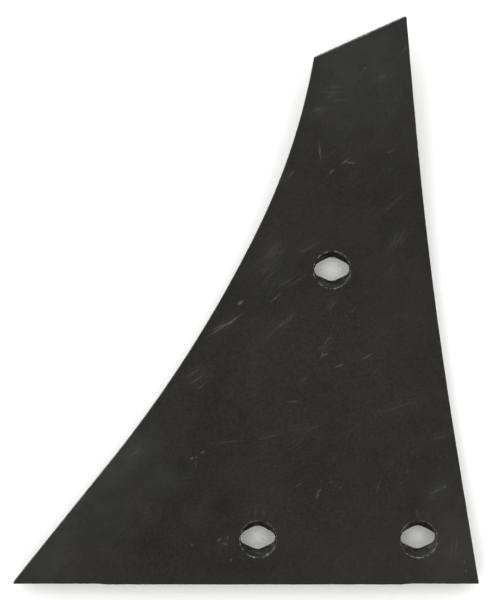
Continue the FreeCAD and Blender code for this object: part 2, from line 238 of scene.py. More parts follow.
@dataclass
class Outline:
    """The plate's outline in plan, at any depth below the working face.

    The shin and wing edges are cut straight down, and the share and top edges are cut
    square to the face, so their trace moves a little with the depth.
    """

    sizes: PlateSizes
    spacing: float = 0.8
    corner_steps: int = 9
    share_points: int = 1200
    top_points: int = 200
    # A corner's directions are taken over this many points of its two sides.
    way_points: int = 4
    # How far the long edges' paths run on past their corners, to be trimmed there.
    overrun: float = 12.0
    # The share edge is worn back a little towards both of its corners.
    worn_depth: float = 0.55
    worn_from_wing: float = -97.0
    worn_from_shin: float = 110.0
    worn_fade: float = 9.0
    counts: dict[Side, int] = field(default_factory=dict)

    def shin_path(self) -> np.ndarray:
        """The shin edge: two straight runs and a hollow arc between them.

        Returns:
            A dense path that runs on a little past both corners.
        """
        sizes = self.sizes
        foot, head = np.array(sizes.foot), np.array(sizes.head)
        turn = math.radians(sizes.shin_hollow_angle)
        lean = 1 + math.cos(turn)
        first, last = sizes.shin_foot_straight, sizes.shin_head_straight
        chord = float(np.hypot(*(head - foot)))
        short_by = chord**2 - first**2 - last**2 - 2 * first * last * (lean - 1)
        runs = lean * (first + last)
        reach = (math.sqrt(runs**2 + 2 * lean * short_by) - runs) / (2 * lean)
        radius = reach / math.tan(turn / 2)
        heading = math.atan2(*(head - foot)[::-1])
        heading += math.asin((last + reach) * math.sin(turn) / chord)
        low = foot + first * direction(heading)
        high = head - last * direction(heading - turn)
        arc = arc_path(low, -radius, heading, heading - turn)
        below = np.linspace(foot - self.overrun * direction(heading), low, RUN_POINTS)
        above = np.linspace(high, head + self.overrun * direction(heading - turn), RUN_POINTS)
        return np.concatenate([below[:-1], arc, above[1:]])

    def wing_path(self) -> np.ndarray:
        """The wing edge: a straight run and two tangent arcs.

        Returns:
            A dense path that runs on a little past both corners.
        """
        sizes = self.sizes
        foot = np.array([-sizes.foot[0], sizes.foot[1]])
        head = np.array(sizes.wing_head)
        chord = math.atan2(head[1] - foot[1], head[0] - foot[0])
        first = chord - math.radians(sizes.wing_foot_angle)
        middle = first + math.radians(sizes.wing_lower_arc_angle)
        last = chord + math.radians(sizes.wing_head_angle)
        run_end = foot + sizes.wing_straight_length * direction(first)
        lower = np.array([math.sin(middle) - math.sin(first), math.cos(first) - math.cos(middle)])
        upper = np.array([math.sin(last) - math.sin(middle), math.cos(middle) - math.cos(last)])
        radii = np.linalg.solve(np.stack([lower, upper], axis=1), head - run_end)
        run = np.linspace(foot - self.overrun * direction(first), run_end, RUN_POINTS)
        low_arc = arc_path(run_end, radii[0], first, middle)
        high_arc = arc_path(low_arc[-1], radii[1], middle, last + self.overrun / radii[1])
        return np.concatenate([run[:-1], low_arc[:-1], high_arc])

    def above_top(self, path: np.ndarray, depth: float) -> np.ndarray:
        """How far places of a path at that depth lie beyond the top edge's plane.

        Args:
            path: Places in plan.
            depth: How deep below the working face they lie.

        Returns:
            A signed distance for each place, square to the top edge.
        """
        head_x, head_y = self.sizes.head
        radius = self.sizes.bend_radius
        turn = math.asin(head_y / radius)
        slope = math.radians(self.sizes.top_edge_angle)
        rise = (radius * math.cos(turn)) - np.sqrt((radius + depth) ** 2 - path[:, 1] ** 2)
        climb = math.cos(turn) * (path[:, 1] - head_y) + math.sin(turn) * rise
        return math.cos(slope) * climb - math.sin(slope) * (path[:, 0] - head_x)

    def share_line(self, x: np.ndarray, depth: float) -> np.ndarray:
        """The share edge's height in plan.

        Args:
            x: Places across the plate.
            depth: How deep below the working face they lie.

        Returns:
            The edge's height at each place.
        """
        base = -self.sizes.bend_line_height * (1 + depth / self.sizes.bend_radius)
        wing_end = 1 - ramp(x, self.worn_from_wing - self.worn_fade, self.worn_from_wing)
        shin_end = ramp(x, self.worn_from_shin, self.worn_from_shin + self.worn_fade)
        return base + self.worn_depth * (wing_end + shin_end)

    def trimmed(self, path: np.ndarray, depth: float) -> np.ndarray:
        """The stretch of a long edge between the share edge and the top edge.

        Args:
            path: The whole edge, from below its foot to above its head.
            depth: How deep below the working face it is wanted.

        Returns:
            The stretch, with its two ends exactly on the cuts.
        """
        over_foot = path[:, 1] - self.share_line(path[:, 0], depth)
        over_top = self.above_top(path, depth)
        low = int(np.argmax(over_foot > 0))
        high = int(np.argmax(over_top > 0))
        share = -over_foot[low - 1] / (over_foot[low] - over_foot[low - 1])
        start = path[low - 1] + share * (path[low] - path[low - 1])
        share = -over_top[high - 1] / (over_top[high] - over_top[high - 1])
        end = path[high - 1] + share * (path[high] - path[high - 1])
        return np.concatenate([[start], path[low:high], [end]])

    def sides(self, depth: float) -> dict[Side, np.ndarray]:
        """The four sides of the outline, counter-clockwise and meeting at the corners.

        Args:
            depth: How deep below the working face they lie.

        Returns:
            A dense path for each side.
        """
        shin = self.trimmed(self.shin_path(), depth)
        wing = self.trimmed(self.wing_path(), depth)
        x = np.linspace(wing[0, 0], shin[0, 0], self.share_points)
        share = np.stack([x, self.share_line(x, depth)], axis=1)
        top = np.linspace(shin[-1], wing[-1], self.top_points)
        lean = math.cos(math.radians(self.sizes.top_edge_angle))
        # Three rounds set the points on the curved cut, to less than a thousandth.
        for _ in range(3):
            top[:, 1] -= self.above_top(top, depth) / lean
        return {Side.SHARE: share, Side.SHIN: shin, Side.TOP: top, Side.WING: wing[::-1]}

    def ring(self, depth: float) -> tuple[np.ndarray, np.ndarray]:
        """The closed outline at a depth, always with as many points.

        Args:
            depth: How deep below the working face the ring lies.

        Returns:
            The points in plan, counter-clockwise, and the side of each point.
        """
        sides = self.sides(depth)
        points: list[np.ndarray] = []
        names: list[int] = []
        for side, path in sides.items():
            steps = np.hypot(*np.diff(path, axis=0).T)
            reach = np.concatenate([[0.0], np.cumsum(steps)])
            if side not in self.counts:
                self.counts[side] = round(reach[-1] / self.spacing)
            after = sides[Side((side.value + 1) % len(Side))]
            before = sides[Side((side.value - 1) % len(Side))]
            ends = (self.trim_length(before, path), self.trim_length(path, after))
            stops = np.linspace(ends[0], reach[-1] - ends[1], self.counts[side])
            points.append(np.stack([np.interp(stops, reach, path[:, k]) for k in (0, 1)], axis=1))
            points.append(self.corner_arc(path, after))
            names += [side.value] * (self.counts[side] + self.corner_steps - 2)
        return np.concatenate(points), np.array(names)

    def corner_ways(self, before: np.ndarray, after: np.ndarray) -> tuple[np.ndarray, np.ndarray]:
        """The unit directions from the corner of two sides along them.

        Args:
            before: The side that ends at the corner.
            after: The side that starts there.

        Returns:
            The way back along the first side and the way on along the second.
        """
        back = before[-1 - self.way_points] - before[-1]
        on = after[self.way_points] - after[0]
        return back / np.hypot(*back), on / np.hypot(*on)

    def trim_length(self, before: np.ndarray, after: np.ndarray) -> float:
        """How far from their corner the rounding between two sides begins."""
        back, on = self.corner_ways(before, after)
        return self.sizes.corner_rounding / math.tan(math.acos(back @ on) / 2)

    def corner_arc(self, before: np.ndarray, after: np.ndarray) -> np.ndarray:
        """The inner points of the rounding between two sides, counter-clockwise.

        Args:
            before: The side that ends at the corner.
            after: The side that starts there.

        Returns:
            The points in plan, without the arc's two ends.
        """
        back, on = self.corner_ways(before, after)
        middle = (back + on) / np.hypot(*(back + on))
        radius = self.sizes.corner_rounding
        centre = after[0] + middle * radius / math.sin(math.acos(back @ on) / 2)
        sweep = math.pi - math.acos(back @ on)
        start = math.atan2(-back[1], -back[0]) - math.pi / 2
        turns = start + np.linspace(0, sweep, self.corner_steps)[1:-1]
        return centre + radius * np.stack([np.cos(turns), np.sin(turns)], axis=1)


class SheetMesh:
    """A mesh gathered in the bent sheet's own coordinates.

    A place is its distance across the sheet, its distance along the bent face from the
    bend line, and its depth below the face.
    """

    # Faces that meet at more than this angle have a crisp edge between them, in degrees.
    crease_angle: float = 38.0
    # Points nearer to each other than this are one point to the triangulation.
    merge_distance: float = 1e-6

    def __init__(self, sizes: PlateSizes) -> None:
        """Starts an empty mesh.

        Args:
            sizes: The plate's sizes, which say how the sheet is bent.
        """
        self.sizes = sizes
        self.places: list[np.ndarray] = []
        self.wear: list[np.ndarray] = []
        self.turning: list[np.ndarray] = []
        self.faces: list[tuple[int, ...]] = []
        self.zones: list[int] = []
        self.count = 0

    def add(self, places: np.ndarray, wear: np.ndarray | float = 0.0,
            turning: np.ndarray | float = 0.0) -> np.ndarray:
        """Adds points.

        Args:
            places: Their places, one row each.
            wear: How far the coat is rubbed off there, from nought to one.
            turning: Their distance from a bolt hole's axis, for its tool marks.

        Returns:
            The new points' numbers.
        """
        size = len(places)
        self.places.append(np.asarray(places, float))
        self.wear.append(np.broadcast_to(np.asarray(wear, float), size))
        self.turning.append(np.broadcast_to(np.asarray(turning, float), size))
        self.count += size
        return np.arange(self.count - size, self.count)

    def bridge(self, first: np.ndarray, second: np.ndarray, zone: Zone) -> None:
        """Joins two closed rings of as many points with a band of quads.

        Args:
            first: The first ring's point numbers.
            second: The second ring's.
            zone: The zone of the new faces.
        """
        after_first, after_second = np.roll(first, -1), np.roll(second, -1)
        quads = np.stack([first, after_first, after_second, second], axis=1)
        self.faces += [tuple(map(int, quad)) for quad in quads]
        self.zones += [zone.value] * len(quads)

    def fill(self, rim: np.ndarray, holes: list[np.ndarray], loose: np.ndarray, zone: Zone) -> None:
        """Fills the area inside a ring with triangles, over loose points.

        Args:
            rim: The outer ring's point numbers.
            holes: The rings that stay open inside it.
            loose: The point numbers between them.
            zone: The zone of the new faces.
        """
        numbers = np.concatenate([rim, *holes, loose])
        flat = np.concatenate(self.places)[numbers, :2]
        edges: list[tuple[int, int]] = []
        start = 0
        for ring in (rim, *holes):
            size = len(ring)
            edges += [(start + i, start + (i + 1) % size) for i in range(size)]
            start += size
        inside_only = 1
        result = delaunay_2d_cdt(
            [Vector(place) for place in flat], edges, [], inside_only, self.merge_distance
        )
        origins = [found[0] for found in result[3]]
        triangles = np.array(result[2])
        triangles = numbers[np.array(origins)[triangles]]
        middles = np.concatenate(self.places)[triangles][:, :, :2].mean(axis=1)
        keep = np.ones(len(triangles), bool)
        for ring in holes:
            centre = np.concatenate(self.places)[ring, :2].mean(axis=0)
            reach = np.hypot(*(np.concatenate(self.places)[ring, :2] - centre).T).max()
            near = np.hypot(*(middles - centre).T) < reach
            inside = np.isin(triangles, ring).all(axis=1) & near
            keep &= ~inside
        self.faces += [tuple(map(int, triangle)) for triangle in triangles[keep]]
        self.zones += [zone.value] * int(keep.sum())

    def to_object(self, name: str, warp: "Warp") -> bpy.types.Object:
        """Bends the gathered sheet into the frame and makes its Blender object.

        Args:
            name: The new object's name.
            warp: How the sheet strays from the true bend.

        Returns:
            The object, at the origin, with its wear and turning attributes.
        """
        across, along, depth = np.concatenate(self.places).T
        depth = depth - warp.lift(across, along)
        radius = self.sizes.bend_radius + depth
        turn = along / self.sizes.bend_radius
        spots = np.stack([
            across,
            radius * np.sin(turn) + self.sizes.frame_shift,
            self.sizes.thickness + self.sizes.bend_radius - radius * np.cos(turn),
        ], axis=1)
        mesh = bpy.data.meshes.new(name)
        mesh.from_pydata((spots * MM).tolist(), [], self.faces)
        for label, values in (("wear", self.wear), ("turning", self.turning)):
            attribute = mesh.attributes.new(label, "FLOAT", "POINT")
            attribute.data.foreach_set("value", np.concatenate(values).astype(np.float32))
        mesh.polygons.foreach_set("material_index", self.zones)
        mesh.polygons.foreach_set("use_smooth", [True] * len(self.faces))
        mesh.update()
        mesh.set_sharp_from_angle(angle=math.radians(self.crease_angle))
        thing = bpy.data.objects.new(name, mesh)
        bpy.context.scene.collection.objects.link(thing)
        return thing


@dataclass(frozen=True)
class Warp:
    """How the formed plate strays from its true bend, all through its thickness."""

    sway: float = 0.10
    sway_noise: Ripple = field(default_factory=lambda: Ripple(11, 90, 260, 10))
    dimple: float = 0.012
    dimple_noise: Ripple = field(default_factory=lambda: Ripple(12, 11, 34, 40))

    def lift(self, across: np.ndarray, along: np.ndarray) -> np.ndarray:
        """How far places are lifted along the face's normal, in millimetres."""
        sway = self.sway * self.sway_noise.over(across, along)
        return sway + self.dimple * self.dimple_noise.over(across, along)


@dataclass
class BoltHole:
    """One bolt hole: a rolled rim, a conical seat and the oval neck below it."""

    name: str
    sizes: PlateSizes
    inset: float
    height: float
    # How far the neck was punched off the middle of the seat.
    shift: tuple[float, float] = (0.0, 0.0)
    steps: int = 176
    # The countersink raised a thin burr round its mouth, which has been rubbed bright.
    burr_height: float = 0.10
    burr_width: float = 0.42
    # Round the rim the burr's height varies by these shares of it.
    burr_middle: float = 0.45
    burr_spread: float = 0.6
    burr_limits: tuple[float, float] = (0.05, 1.2)
    # How far the mouth strays from a true circle.
    mouth_stray: float = 0.03
    # The burr from its foot on the face to its crest and in over the rim: how far out a
    # ring lies and how high, as shares of the burr's width and height, and its wear.
    burr_profile: tuple[tuple[float, float, float], ...] = (
        (2.2, 0.0, 0.0),
        (1.3, 0.45, 0.35),
        (0.6, 1.0, 0.95),
        (0.15, 0.7, 1.0),
    )
    # How far outside the mouth the burr's crest is rubbed bright.
    crest_offset: float = 0.15
    rim_rounding: float = 0.22
    # The rim's rounding: how far in and how deep a ring lies, as a share of its radius,
    # and the ring's wear and zone.
    rim_profile: tuple[tuple[float, float, Zone], ...] = (
        (0.3, 0.8, Zone.FACE),
        (1.0, 0.2, Zone.SEAT),
    )
    apron: float = 2.4
    seat_rings: int = 9
    neck_rings: int = 6
    # Punching the neck drew the seat's inner edge in, so it is round, not crisp.
    neck_blend: float = 3.2
    blend_steps: int = 5
    # Where the neck comes near the mouth, the rim's rounding and the blend take no more
    # than these shares of the width between them.
    rounding_share: float = 0.4
    blend_share: float = 0.45
    break_edge: float = 0.25
    back_wear: float = 0.3
    neck_arc_points: int = 24
    neck_fine_points: int = 12

    @property
    def across(self) -> float:
        """The hole's place across the sheet."""
        return self.sizes.share_edge_length / 2 - self.inset

    @property
    def along(self) -> float:
        """The hole's place along the bent face."""
        rise = self.height - self.sizes.bend_line_height
        return self.sizes.bend_radius * math.asin(rise / self.sizes.bend_radius)

    def neck_radii(self, angles: np.ndarray) -> np.ndarray:
        """How far the oval neck's wall lies from the seat's axis, in each direction.

        Args:
            angles: The directions, in radians.

        Returns:
            The distances, in millimetres.
        """
        sizes = self.sizes
        end_x = sizes.neck_length / 2 - sizes.neck_end_radius
        side_y = sizes.neck_width / 2 - sizes.neck_side_radius
        spread = math.hypot(end_x, side_y)
        skew = math.asin((sizes.neck_end_radius - sizes.neck_side_radius) / spread)
        fan = math.pi / 2 - math.atan2(side_y, end_x) + skew
        facings = [-fan, fan, math.pi - fan, math.pi + fan, math.tau - fan]
        centres = [(end_x, 0), (0, side_y), (-end_x, 0), (0, -side_y)]
        radii = [sizes.neck_end_radius, sizes.neck_side_radius] * 2
        wall = []
        for i, (x, y) in enumerate(centres):
            turns = np.linspace(facings[i], facings[i + 1], self.neck_arc_points)
            wall.append(np.stack([x + radii[i] * np.cos(turns), y + radii[i] * np.sin(turns)], axis=1))
        joined = np.concatenate(wall) + np.array(self.shift)
        closed = np.concatenate([joined, joined[:1]])
        fine = [np.linspace(a, b, self.neck_fine_points)[:-1] for a, b in zip(closed, closed[1:])]
        dense = np.concatenate(fine)
        bearing = np.unwrap(np.arctan2(dense[:, 1], dense[:, 0]))
        return np.interp(angles, bearing, np.hypot(*dense.T), period=math.tau)

    def glints(self, rows: tuple[tuple[float, float, float, float], ...]) -> tuple[Mark, ...]:
        """The rubbed dashes along the burr's crest.

        Args:
            rows: Each one's bearing in degrees, length, width and strength.

        Returns:
            The marks, in the frame, each along the rim.
        """
        crest = self.sizes.head_seat_diameter / 2 + self.crest_offset
        middle = self.height - self.sizes.bend_line_height + self.sizes.frame_shift
        marks = []
        for bearing, length, width, strength in rows:
            x = self.across + crest * math.cos(math.radians(bearing))
            y = middle + crest * math.sin(math.radians(bearing))
            marks.append(Mark(x, y, bearing + 90, length, width, strength))
        return tuple(marks)

    def build(self, mesh: SheetMesh) -> tuple[np.ndarray, np.ndarray]:
        """Adds the hole's walls to the mesh.

        Args:
            mesh: The mesh to add to.

        Returns:
            The point numbers of the apron on the face and of the mouth in the back.
        """
        angles = np.linspace(0, math.tau, self.steps, endpoint=False)
        mouth = self.sizes.head_seat_diameter / 2
        neck = self.neck_radii(angles)
        seed = sum(map(ord, self.name))
        arc = angles * mouth
        uneven = self.burr_middle + self.burr_spread * Ripple(seed, 2, 16, 20).along(arc)
        burr = self.burr_height * np.clip(uneven, *self.burr_limits)
        rim = mouth + self.mouth_stray * Ripple(seed + 1, 5, 40, 12).along(arc)
        thickness = self.sizes.thickness
        corner = np.minimum(self.rim_rounding, self.rounding_share * (mouth - neck))

        def ring(radius: np.ndarray, depth: np.ndarray | float, wear: float) -> np.ndarray:
            """Adds one ring round the hole.

            Args:
                radius: How far from the seat's axis it lies, in each direction.
                depth: How deep below the working face it lies.
                wear: How far the coat is rubbed off there.

            Returns:
                The ring's point numbers.
            """
            places = np.stack([
                self.across + radius * np.cos(angles),
                self.along + radius * np.sin(angles),
                np.broadcast_to(depth, angles.shape),
            ], axis=1)
            return mesh.add(places, wear, radius)

        apron = ring(rim + self.apron, 0.0, 0.0)
        rings = [
            (ring(rim + out * self.burr_width, -rise * burr, wear), Zone.FACE)
            for out, rise, wear in self.burr_profile
        ]
        for share, wear, zone in self.rim_profile:
            rings.append((ring(rim - share * corner, share * corner, wear), zone))
        # The blend between the seat's cone and the neck's wall is an eighth of a turn.
        slope = math.pi / 4
        reach = math.tan(slope / 2)
        room = self.blend_share * (rim - corner - neck)
        blend = np.minimum(self.neck_blend, room / (reach * math.sin(slope)))
        lip = neck + blend * (1 - math.cos(slope))
        for share in np.linspace(0, 1, self.seat_rings)[1:]:
            radius = (rim - corner) * (1 - share) + lip * share
            rings.append((ring(radius, mouth - radius, 0.0), Zone.SEAT))
        junction = mouth - neck + blend * reach
        for turn in np.linspace(slope, 0, self.blend_steps)[1:]:
            radius = neck + blend * (1 - math.cos(turn))
            rings.append((ring(radius, junction - blend * math.sin(turn), 0.0), Zone.SEAT))
        for share in np.linspace(0, 1, self.neck_rings)[1:]:
            depth = junction + (thickness - self.break_edge - junction) * share
            rings.append((ring(neck, depth, 0.0), Zone.SEAT))
        back = ring(neck + self.break_edge, thickness, self.back_wear)
        rings.append((back, Zone.SEAT))
        before = apron
        for numbers, zone in rings:
            mesh.bridge(before, numbers, zone)
            before = numbers
        return apron, back


@dataclass
class ShinPlate:
    """The whole plate: its outline, its two faces and its three bolt holes."""

    sizes: PlateSizes
    body: str = "root"
    slot: str = "blackened_steel"
    node: str = "shin_plate"
    face_spacing: float = 2.3
    back_spacing: float = 4.5
    face_margin: float = 1.1
    back_margin: float = 1.6
    # Distances are worked out for this many points at a time, to spare memory.
    block_size: int = 2000
    wall_rings: int = 8
    # How far the face's own triangles start inside the arris.
    face_inset: float = 0.8
    # How far inward a ring may be drawn: the least, at a corner, how that grows with the
    # distance from it, and the most.
    reach_least: float = 0.5
    reach_growth: float = 0.3
    reach_most: float = 9.0
    # The share of that reach which the arris may take.
    arris_share: float = 0.8
    # The front arris is rounded by wear, more in some places than in others.
    arris: float = 0.45
    arris_spread: float = 0.22
    arris_limits: tuple[float, float] = (0.18, 1.4)
    back_arris: float = 0.2
    back_wear: float = 0.2
    # The torch left drag lines down the edge.
    drag_depth: float = 0.02
    # Small chips out of the front arris, near the shin end of the share edge.
    chips: tuple[tuple[float, float, float], ...] = (
        (113.0, 1.1, 0.75),
        (118.5, 0.7, 0.35),
        (126.0, 0.9, 0.45),
        (133.8, 1.3, 0.65),
        (139.5, 0.8, 0.35),
        (-88.0, 1.0, 0.30),
    )
    # The rounded arris from the face to the edge: the turn in degrees, and its wear.
    arris_profile: tuple[tuple[float, float], ...] = (
        (0, 0.55),
        (25, 1.0),
        (50, 1.0),
        (75, 0.65),
        (90, 0.25),
    )
    # From this turn on, in degrees, the arris has the cut edge's finish.
    edge_from: float = 60.0
    # How bright each side's arris has been rubbed.
    rubbed: dict[Side, float] = field(default_factory=lambda: {
        Side.SHARE: 0.40,
        Side.SHIN: 0.75,
        Side.TOP: 1.0,
        Side.WING: 0.50,
    })

    def holes(self) -> list[BoltHole]:
        """The bolt holes, at their places in the solid.

        Returns:
            The shin hole, the wing hole and the upper hole.
        """
        sizes = self.sizes
        low, high = sizes.lower_hole_height, sizes.upper_hole_height
        aside = -sizes.lower_neck_shift_to_wing
        shin_shift = (aside, sizes.shin_neck_shift_up)
        wing_shift = (aside, sizes.wing_neck_shift_up)
        return [
            BoltHole("shin_hole", sizes, sizes.shin_hole_inset, low, shin_shift),
            BoltHole("wing_hole", sizes, sizes.wing_hole_inset, low, wing_shift),
            BoltHole("upper_hole", sizes, sizes.upper_hole_inset, high),
        ]

    def sheet_ring(self, outline: Outline, depth: float) -> tuple[np.ndarray, np.ndarray]:
        """The outline at a depth, in the sheet's coordinates.

        Args:
            outline: The plate's outline in plan.
            depth: How deep below the working face it is wanted.

        Returns:
            The places of its points, and the side of each point.
        """
        plan, names = outline.ring(depth)
        turn = np.arcsin(plan[:, 1] / (self.sizes.bend_radius + depth))
        along = self.sizes.bend_radius * turn
        places = np.stack([plan[:, 0], along, np.full(len(plan), depth)], axis=1)
        return places, names

    def arris_radii(self, front: np.ndarray, names: np.ndarray, distance: np.ndarray) -> np.ndarray:
        """The front arris's rounding all along the outline.

        Args:
            front: The outline's places at the face.
            names: The side of each place.
            distance: How far along the outline each place is.

        Returns:
            A radius for each place, in millimetres.
        """
        radii = self.arris + self.arris_spread * Ripple(21, 3, 60, 30).along(distance)
        for across, width, depth in self.chips:
            on_share = (names == Side.SHARE.value) * 1.0
            radii += on_share * depth * np.exp(-((front[:, 0] - across) / width) ** 2)
        return np.clip(radii, *self.arris_limits)

    def corner_reach(self, front: np.ndarray, names: np.ndarray, outline: Outline) -> np.ndarray:
        """How far inward a ring may be drawn without crossing itself at the corners.

        Args:
            front: The outline's places at the face.
            names: The side of each place.
            outline: The plate's outline in plan.

        Returns:
            The reach at each place.
        """
        reach = np.full(len(front), self.reach_most)
        for side in Side:
            last = np.flatnonzero(names == side.value)[-1] - outline.corner_steps // 2 + 1
            away = np.hypot(*(front[:, :2] - front[last, :2]).T)
            reach = np.minimum(reach, self.reach_least + self.reach_growth * away)
        return reach

    def interior(self, mesh: SheetMesh, rim: np.ndarray, holes: list[np.ndarray], spacing: float,
                 depth: float, margin: float) -> np.ndarray:
        """Adds evenly spread points inside a ring and clear of the holes.

        Args:
            mesh: The mesh to add to.
            rim: The outer ring's point numbers.
            holes: The inner rings' point numbers.
            spacing: How far apart the points lie.
            depth: Their depth below the working face.
            margin: How far they keep from the rings.

        Returns:
            The new points' numbers.
        """
        everything = np.concatenate(mesh.places)[:, :2]
        edge = everything[rim]
        low, high = edge.min(axis=0), edge.max(axis=0)
        rows = np.arange(low[1], high[1], spacing * math.sqrt(3) / 2)
        spots = []
        for i, row in enumerate(rows):
            columns = np.arange(low[0] + (i % 2) * spacing / 2, high[0], spacing)
            spots.append(np.stack([columns, np.full(len(columns), row)], axis=1))
        grid = np.concatenate(spots)
        grid = grid[self.inside(grid, edge)]
        for ring in (rim, *holes):
            border = everything[ring]
            clear = np.ones(len(grid), bool)
            for start in range(0, len(grid), self.block_size):
                block = grid[start:start + self.block_size]
                gaps = np.hypot(*(block[:, None, :] - border[None, :, :]).transpose(2, 0, 1))
                clear[start:start + self.block_size] = gaps.min(axis=1) > margin
            grid = grid[clear]
        for ring in holes:
            grid = grid[~self.inside(grid, everything[ring])]
        return mesh.add(np.column_stack([grid, np.full(len(grid), depth)]))

    @staticmethod
    def inside(spots: np.ndarray, edge: np.ndarray) -> np.ndarray:
        """Finds the spots inside a closed path, by counting the sides to their right.

        Args:
            spots: The places to test.
            edge: The closed path's points.

        Returns:
            Whether each spot lies inside.
        """
        after = np.roll(edge, -1, axis=0)
        odd = np.zeros(len(spots), bool)
        for (x0, y0), (x1, y1) in zip(edge, after):
            if y0 == y1:
                continue
            spans = (spots[:, 1] >= min(y0, y1)) & (spots[:, 1] < max(y0, y1))
            crossing = x0 + (spots[:, 1] - y0) * (x1 - x0) / (y1 - y0)
            odd ^= spans & (crossing > spots[:, 0])
        return odd

    def build(self) -> bpy.types.Object:
        """Builds the whole plate as one closed mesh.

        Returns:
            The plate's object.
        """
        mesh = SheetMesh(self.sizes)
        outline = Outline(self.sizes)
        thickness = self.sizes.thickness
        front, names = self.sheet_ring(outline, 0.0)
        back = self.sheet_ring(outline, thickness)[0]
        before, after = np.roll(front, 1, axis=0), np.roll(front, -1, axis=0)
        heading = (after - before)[:, :2]
        heading /= np.hypot(*heading.T)[:, None]
        inward = np.stack([-heading[:, 1], heading[:, 0], np.zeros(len(front))], axis=1)
        distance = np.concatenate([[0.0], np.cumsum(np.hypot(*np.diff(front[:, :2], axis=0).T))])
        reach = self.corner_reach(front, names, outline)
        radii = np.minimum(self.arris_radii(front, names, distance), reach * self.arris_share)
        rub = np.array([self.rubbed[Side(name)] for name in names])

        def wall_ring(inset: np.ndarray, depth: np.ndarray, wear: np.ndarray | float) -> np.ndarray:
            """Adds a ring of the outline.

            Args:
                inset: How far inside the outline it lies, at each place.
                depth: How deep below the face, at each place.
                wear: How far the coat is rubbed off there.

            Returns:
                The ring's point numbers.
            """
            share = (depth / thickness)[:, None]
            base = front * (1 - share) + back * share
            places = base + inward * inset[:, None]
            places[:, 2] = depth
            return mesh.add(places, wear)

        nothing = np.zeros(len(front))
        face_ring = wall_ring(np.minimum(radii + self.face_inset, reach), nothing, 0.0)
        last = face_ring
        for turn, wear in self.arris_profile:
            sine, cosine = math.sin(math.radians(turn)), math.cos(math.radians(turn))
            ring = wall_ring(radii * (1 - sine), radii * (1 - cosine), rub * wear)
            mesh.bridge(last, ring, Zone.FACE if turn < self.edge_from else Zone.EDGE)
            last = ring
        drag = [Ripple(31 + i, 1.6, 14, 60) for i in range(self.wall_rings)]
        for i in range(1, self.wall_rings):
            depth = radii + (thickness - self.back_arris - radii) * i / (self.wall_rings - 1)
            ring = wall_ring(self.drag_depth * drag[i].along(distance), depth, 0.0)
            mesh.bridge(last, ring, Zone.EDGE)
            last = ring
        back_ring = wall_ring(nothing + self.back_arris, nothing + thickness, self.back_wear)
        mesh.bridge(last, back_ring, Zone.EDGE)

        pairs = [hole.build(mesh) for hole in self.holes()]
        aprons = [pair[0] for pair in pairs]
        mouths = [pair[1] for pair in pairs]
        loose = self.interior(mesh, face_ring, aprons, self.face_spacing, 0.0, self.face_margin)
        mesh.fill(face_ring, aprons, loose, Zone.FACE)
        loose = self.interior(mesh, back_ring, mouths, self.back_spacing, thickness, self.back_margin)
        mesh.fill(back_ring, mouths, loose, Zone.BACK)
        thing = mesh.to_object("shin_plate_dressed", Warp())
        self.turn_faces_out(thing)
        return thing

    @staticmethod
    def turn_faces_out(thing: bpy.types.Object) -> None:
        """Makes every face look outwards.

        Args:
            thing: The plate's object, whose mesh is closed.
        """
        work = bmesh.new()
        work.from_mesh(thing.data)
        bmesh.ops.recalc_face_normals(work, faces=work.faces)
        if work.calc_volume(signed=True) < 0:
            bmesh.ops.reverse_faces(work, faces=work.faces)
        open_edges = sum(1 for edge in work.edges if len(edge.link_faces) != 2)
        LOG.info("closed mesh: %d edges without two faces", open_edges)
        work.to_mesh(thing.data)
        work.free()


def add_node(tree: bpy.types.NodeTree, kind: str, links: dict | None = None,
             **settings: object) -> bpy.types.NodeSocket:
    """Adds a node with its settings and links.

    Args:
        tree: The material's or world's node tree.
        kind: The node's type, without its common prefix.
        links: A value or another node's socket for each input, by name or number.
        settings: Values of the node's own properties.

    Returns:
        The node's first enabled output socket, or the node itself where it has none.
    """
    node = tree.nodes.new("ShaderNode" + kind)
    for name, value in settings.items():
        setattr(node, name, value)
    for key, value in (links or {}).items():
        socket = node.inputs[key]
        if isinstance(value, bpy.types.NodeSocket):
            tree.links.new(value, socket)
        else:
            socket.default_value = value
    return next((socket for socket in node.outputs if socket.enabled), node)


@dataclass(frozen=True)
class Layer:
    """One layer of the coat's unevenness.

    Its width is that of its spots in millimetres, its detail is how many finer octaves
    they have, and its share is how strongly they show.
    """

    width: float
    detail: float
    share: float


@dataclass(frozen=True)
class Breaks:
    """A noise that shows between two of its levels.

    Its width is that of its spots in millimetres, and its detail is how many finer
    octaves they have. Its shares are what it gives below the lower level and above the
    upper one.
    """

    width: float
    detail: float
    levels: tuple[float, float]
    shares: tuple[float, float] = (0.0, 1.0)


@dataclass(frozen=True)
class Strokes:
    """One family of hairlines.

    Their heading is in degrees, their pitch in millimetres, and a higher threshold
    leaves fewer of them.
    """

    heading: float
    pitch: float
    threshold: float


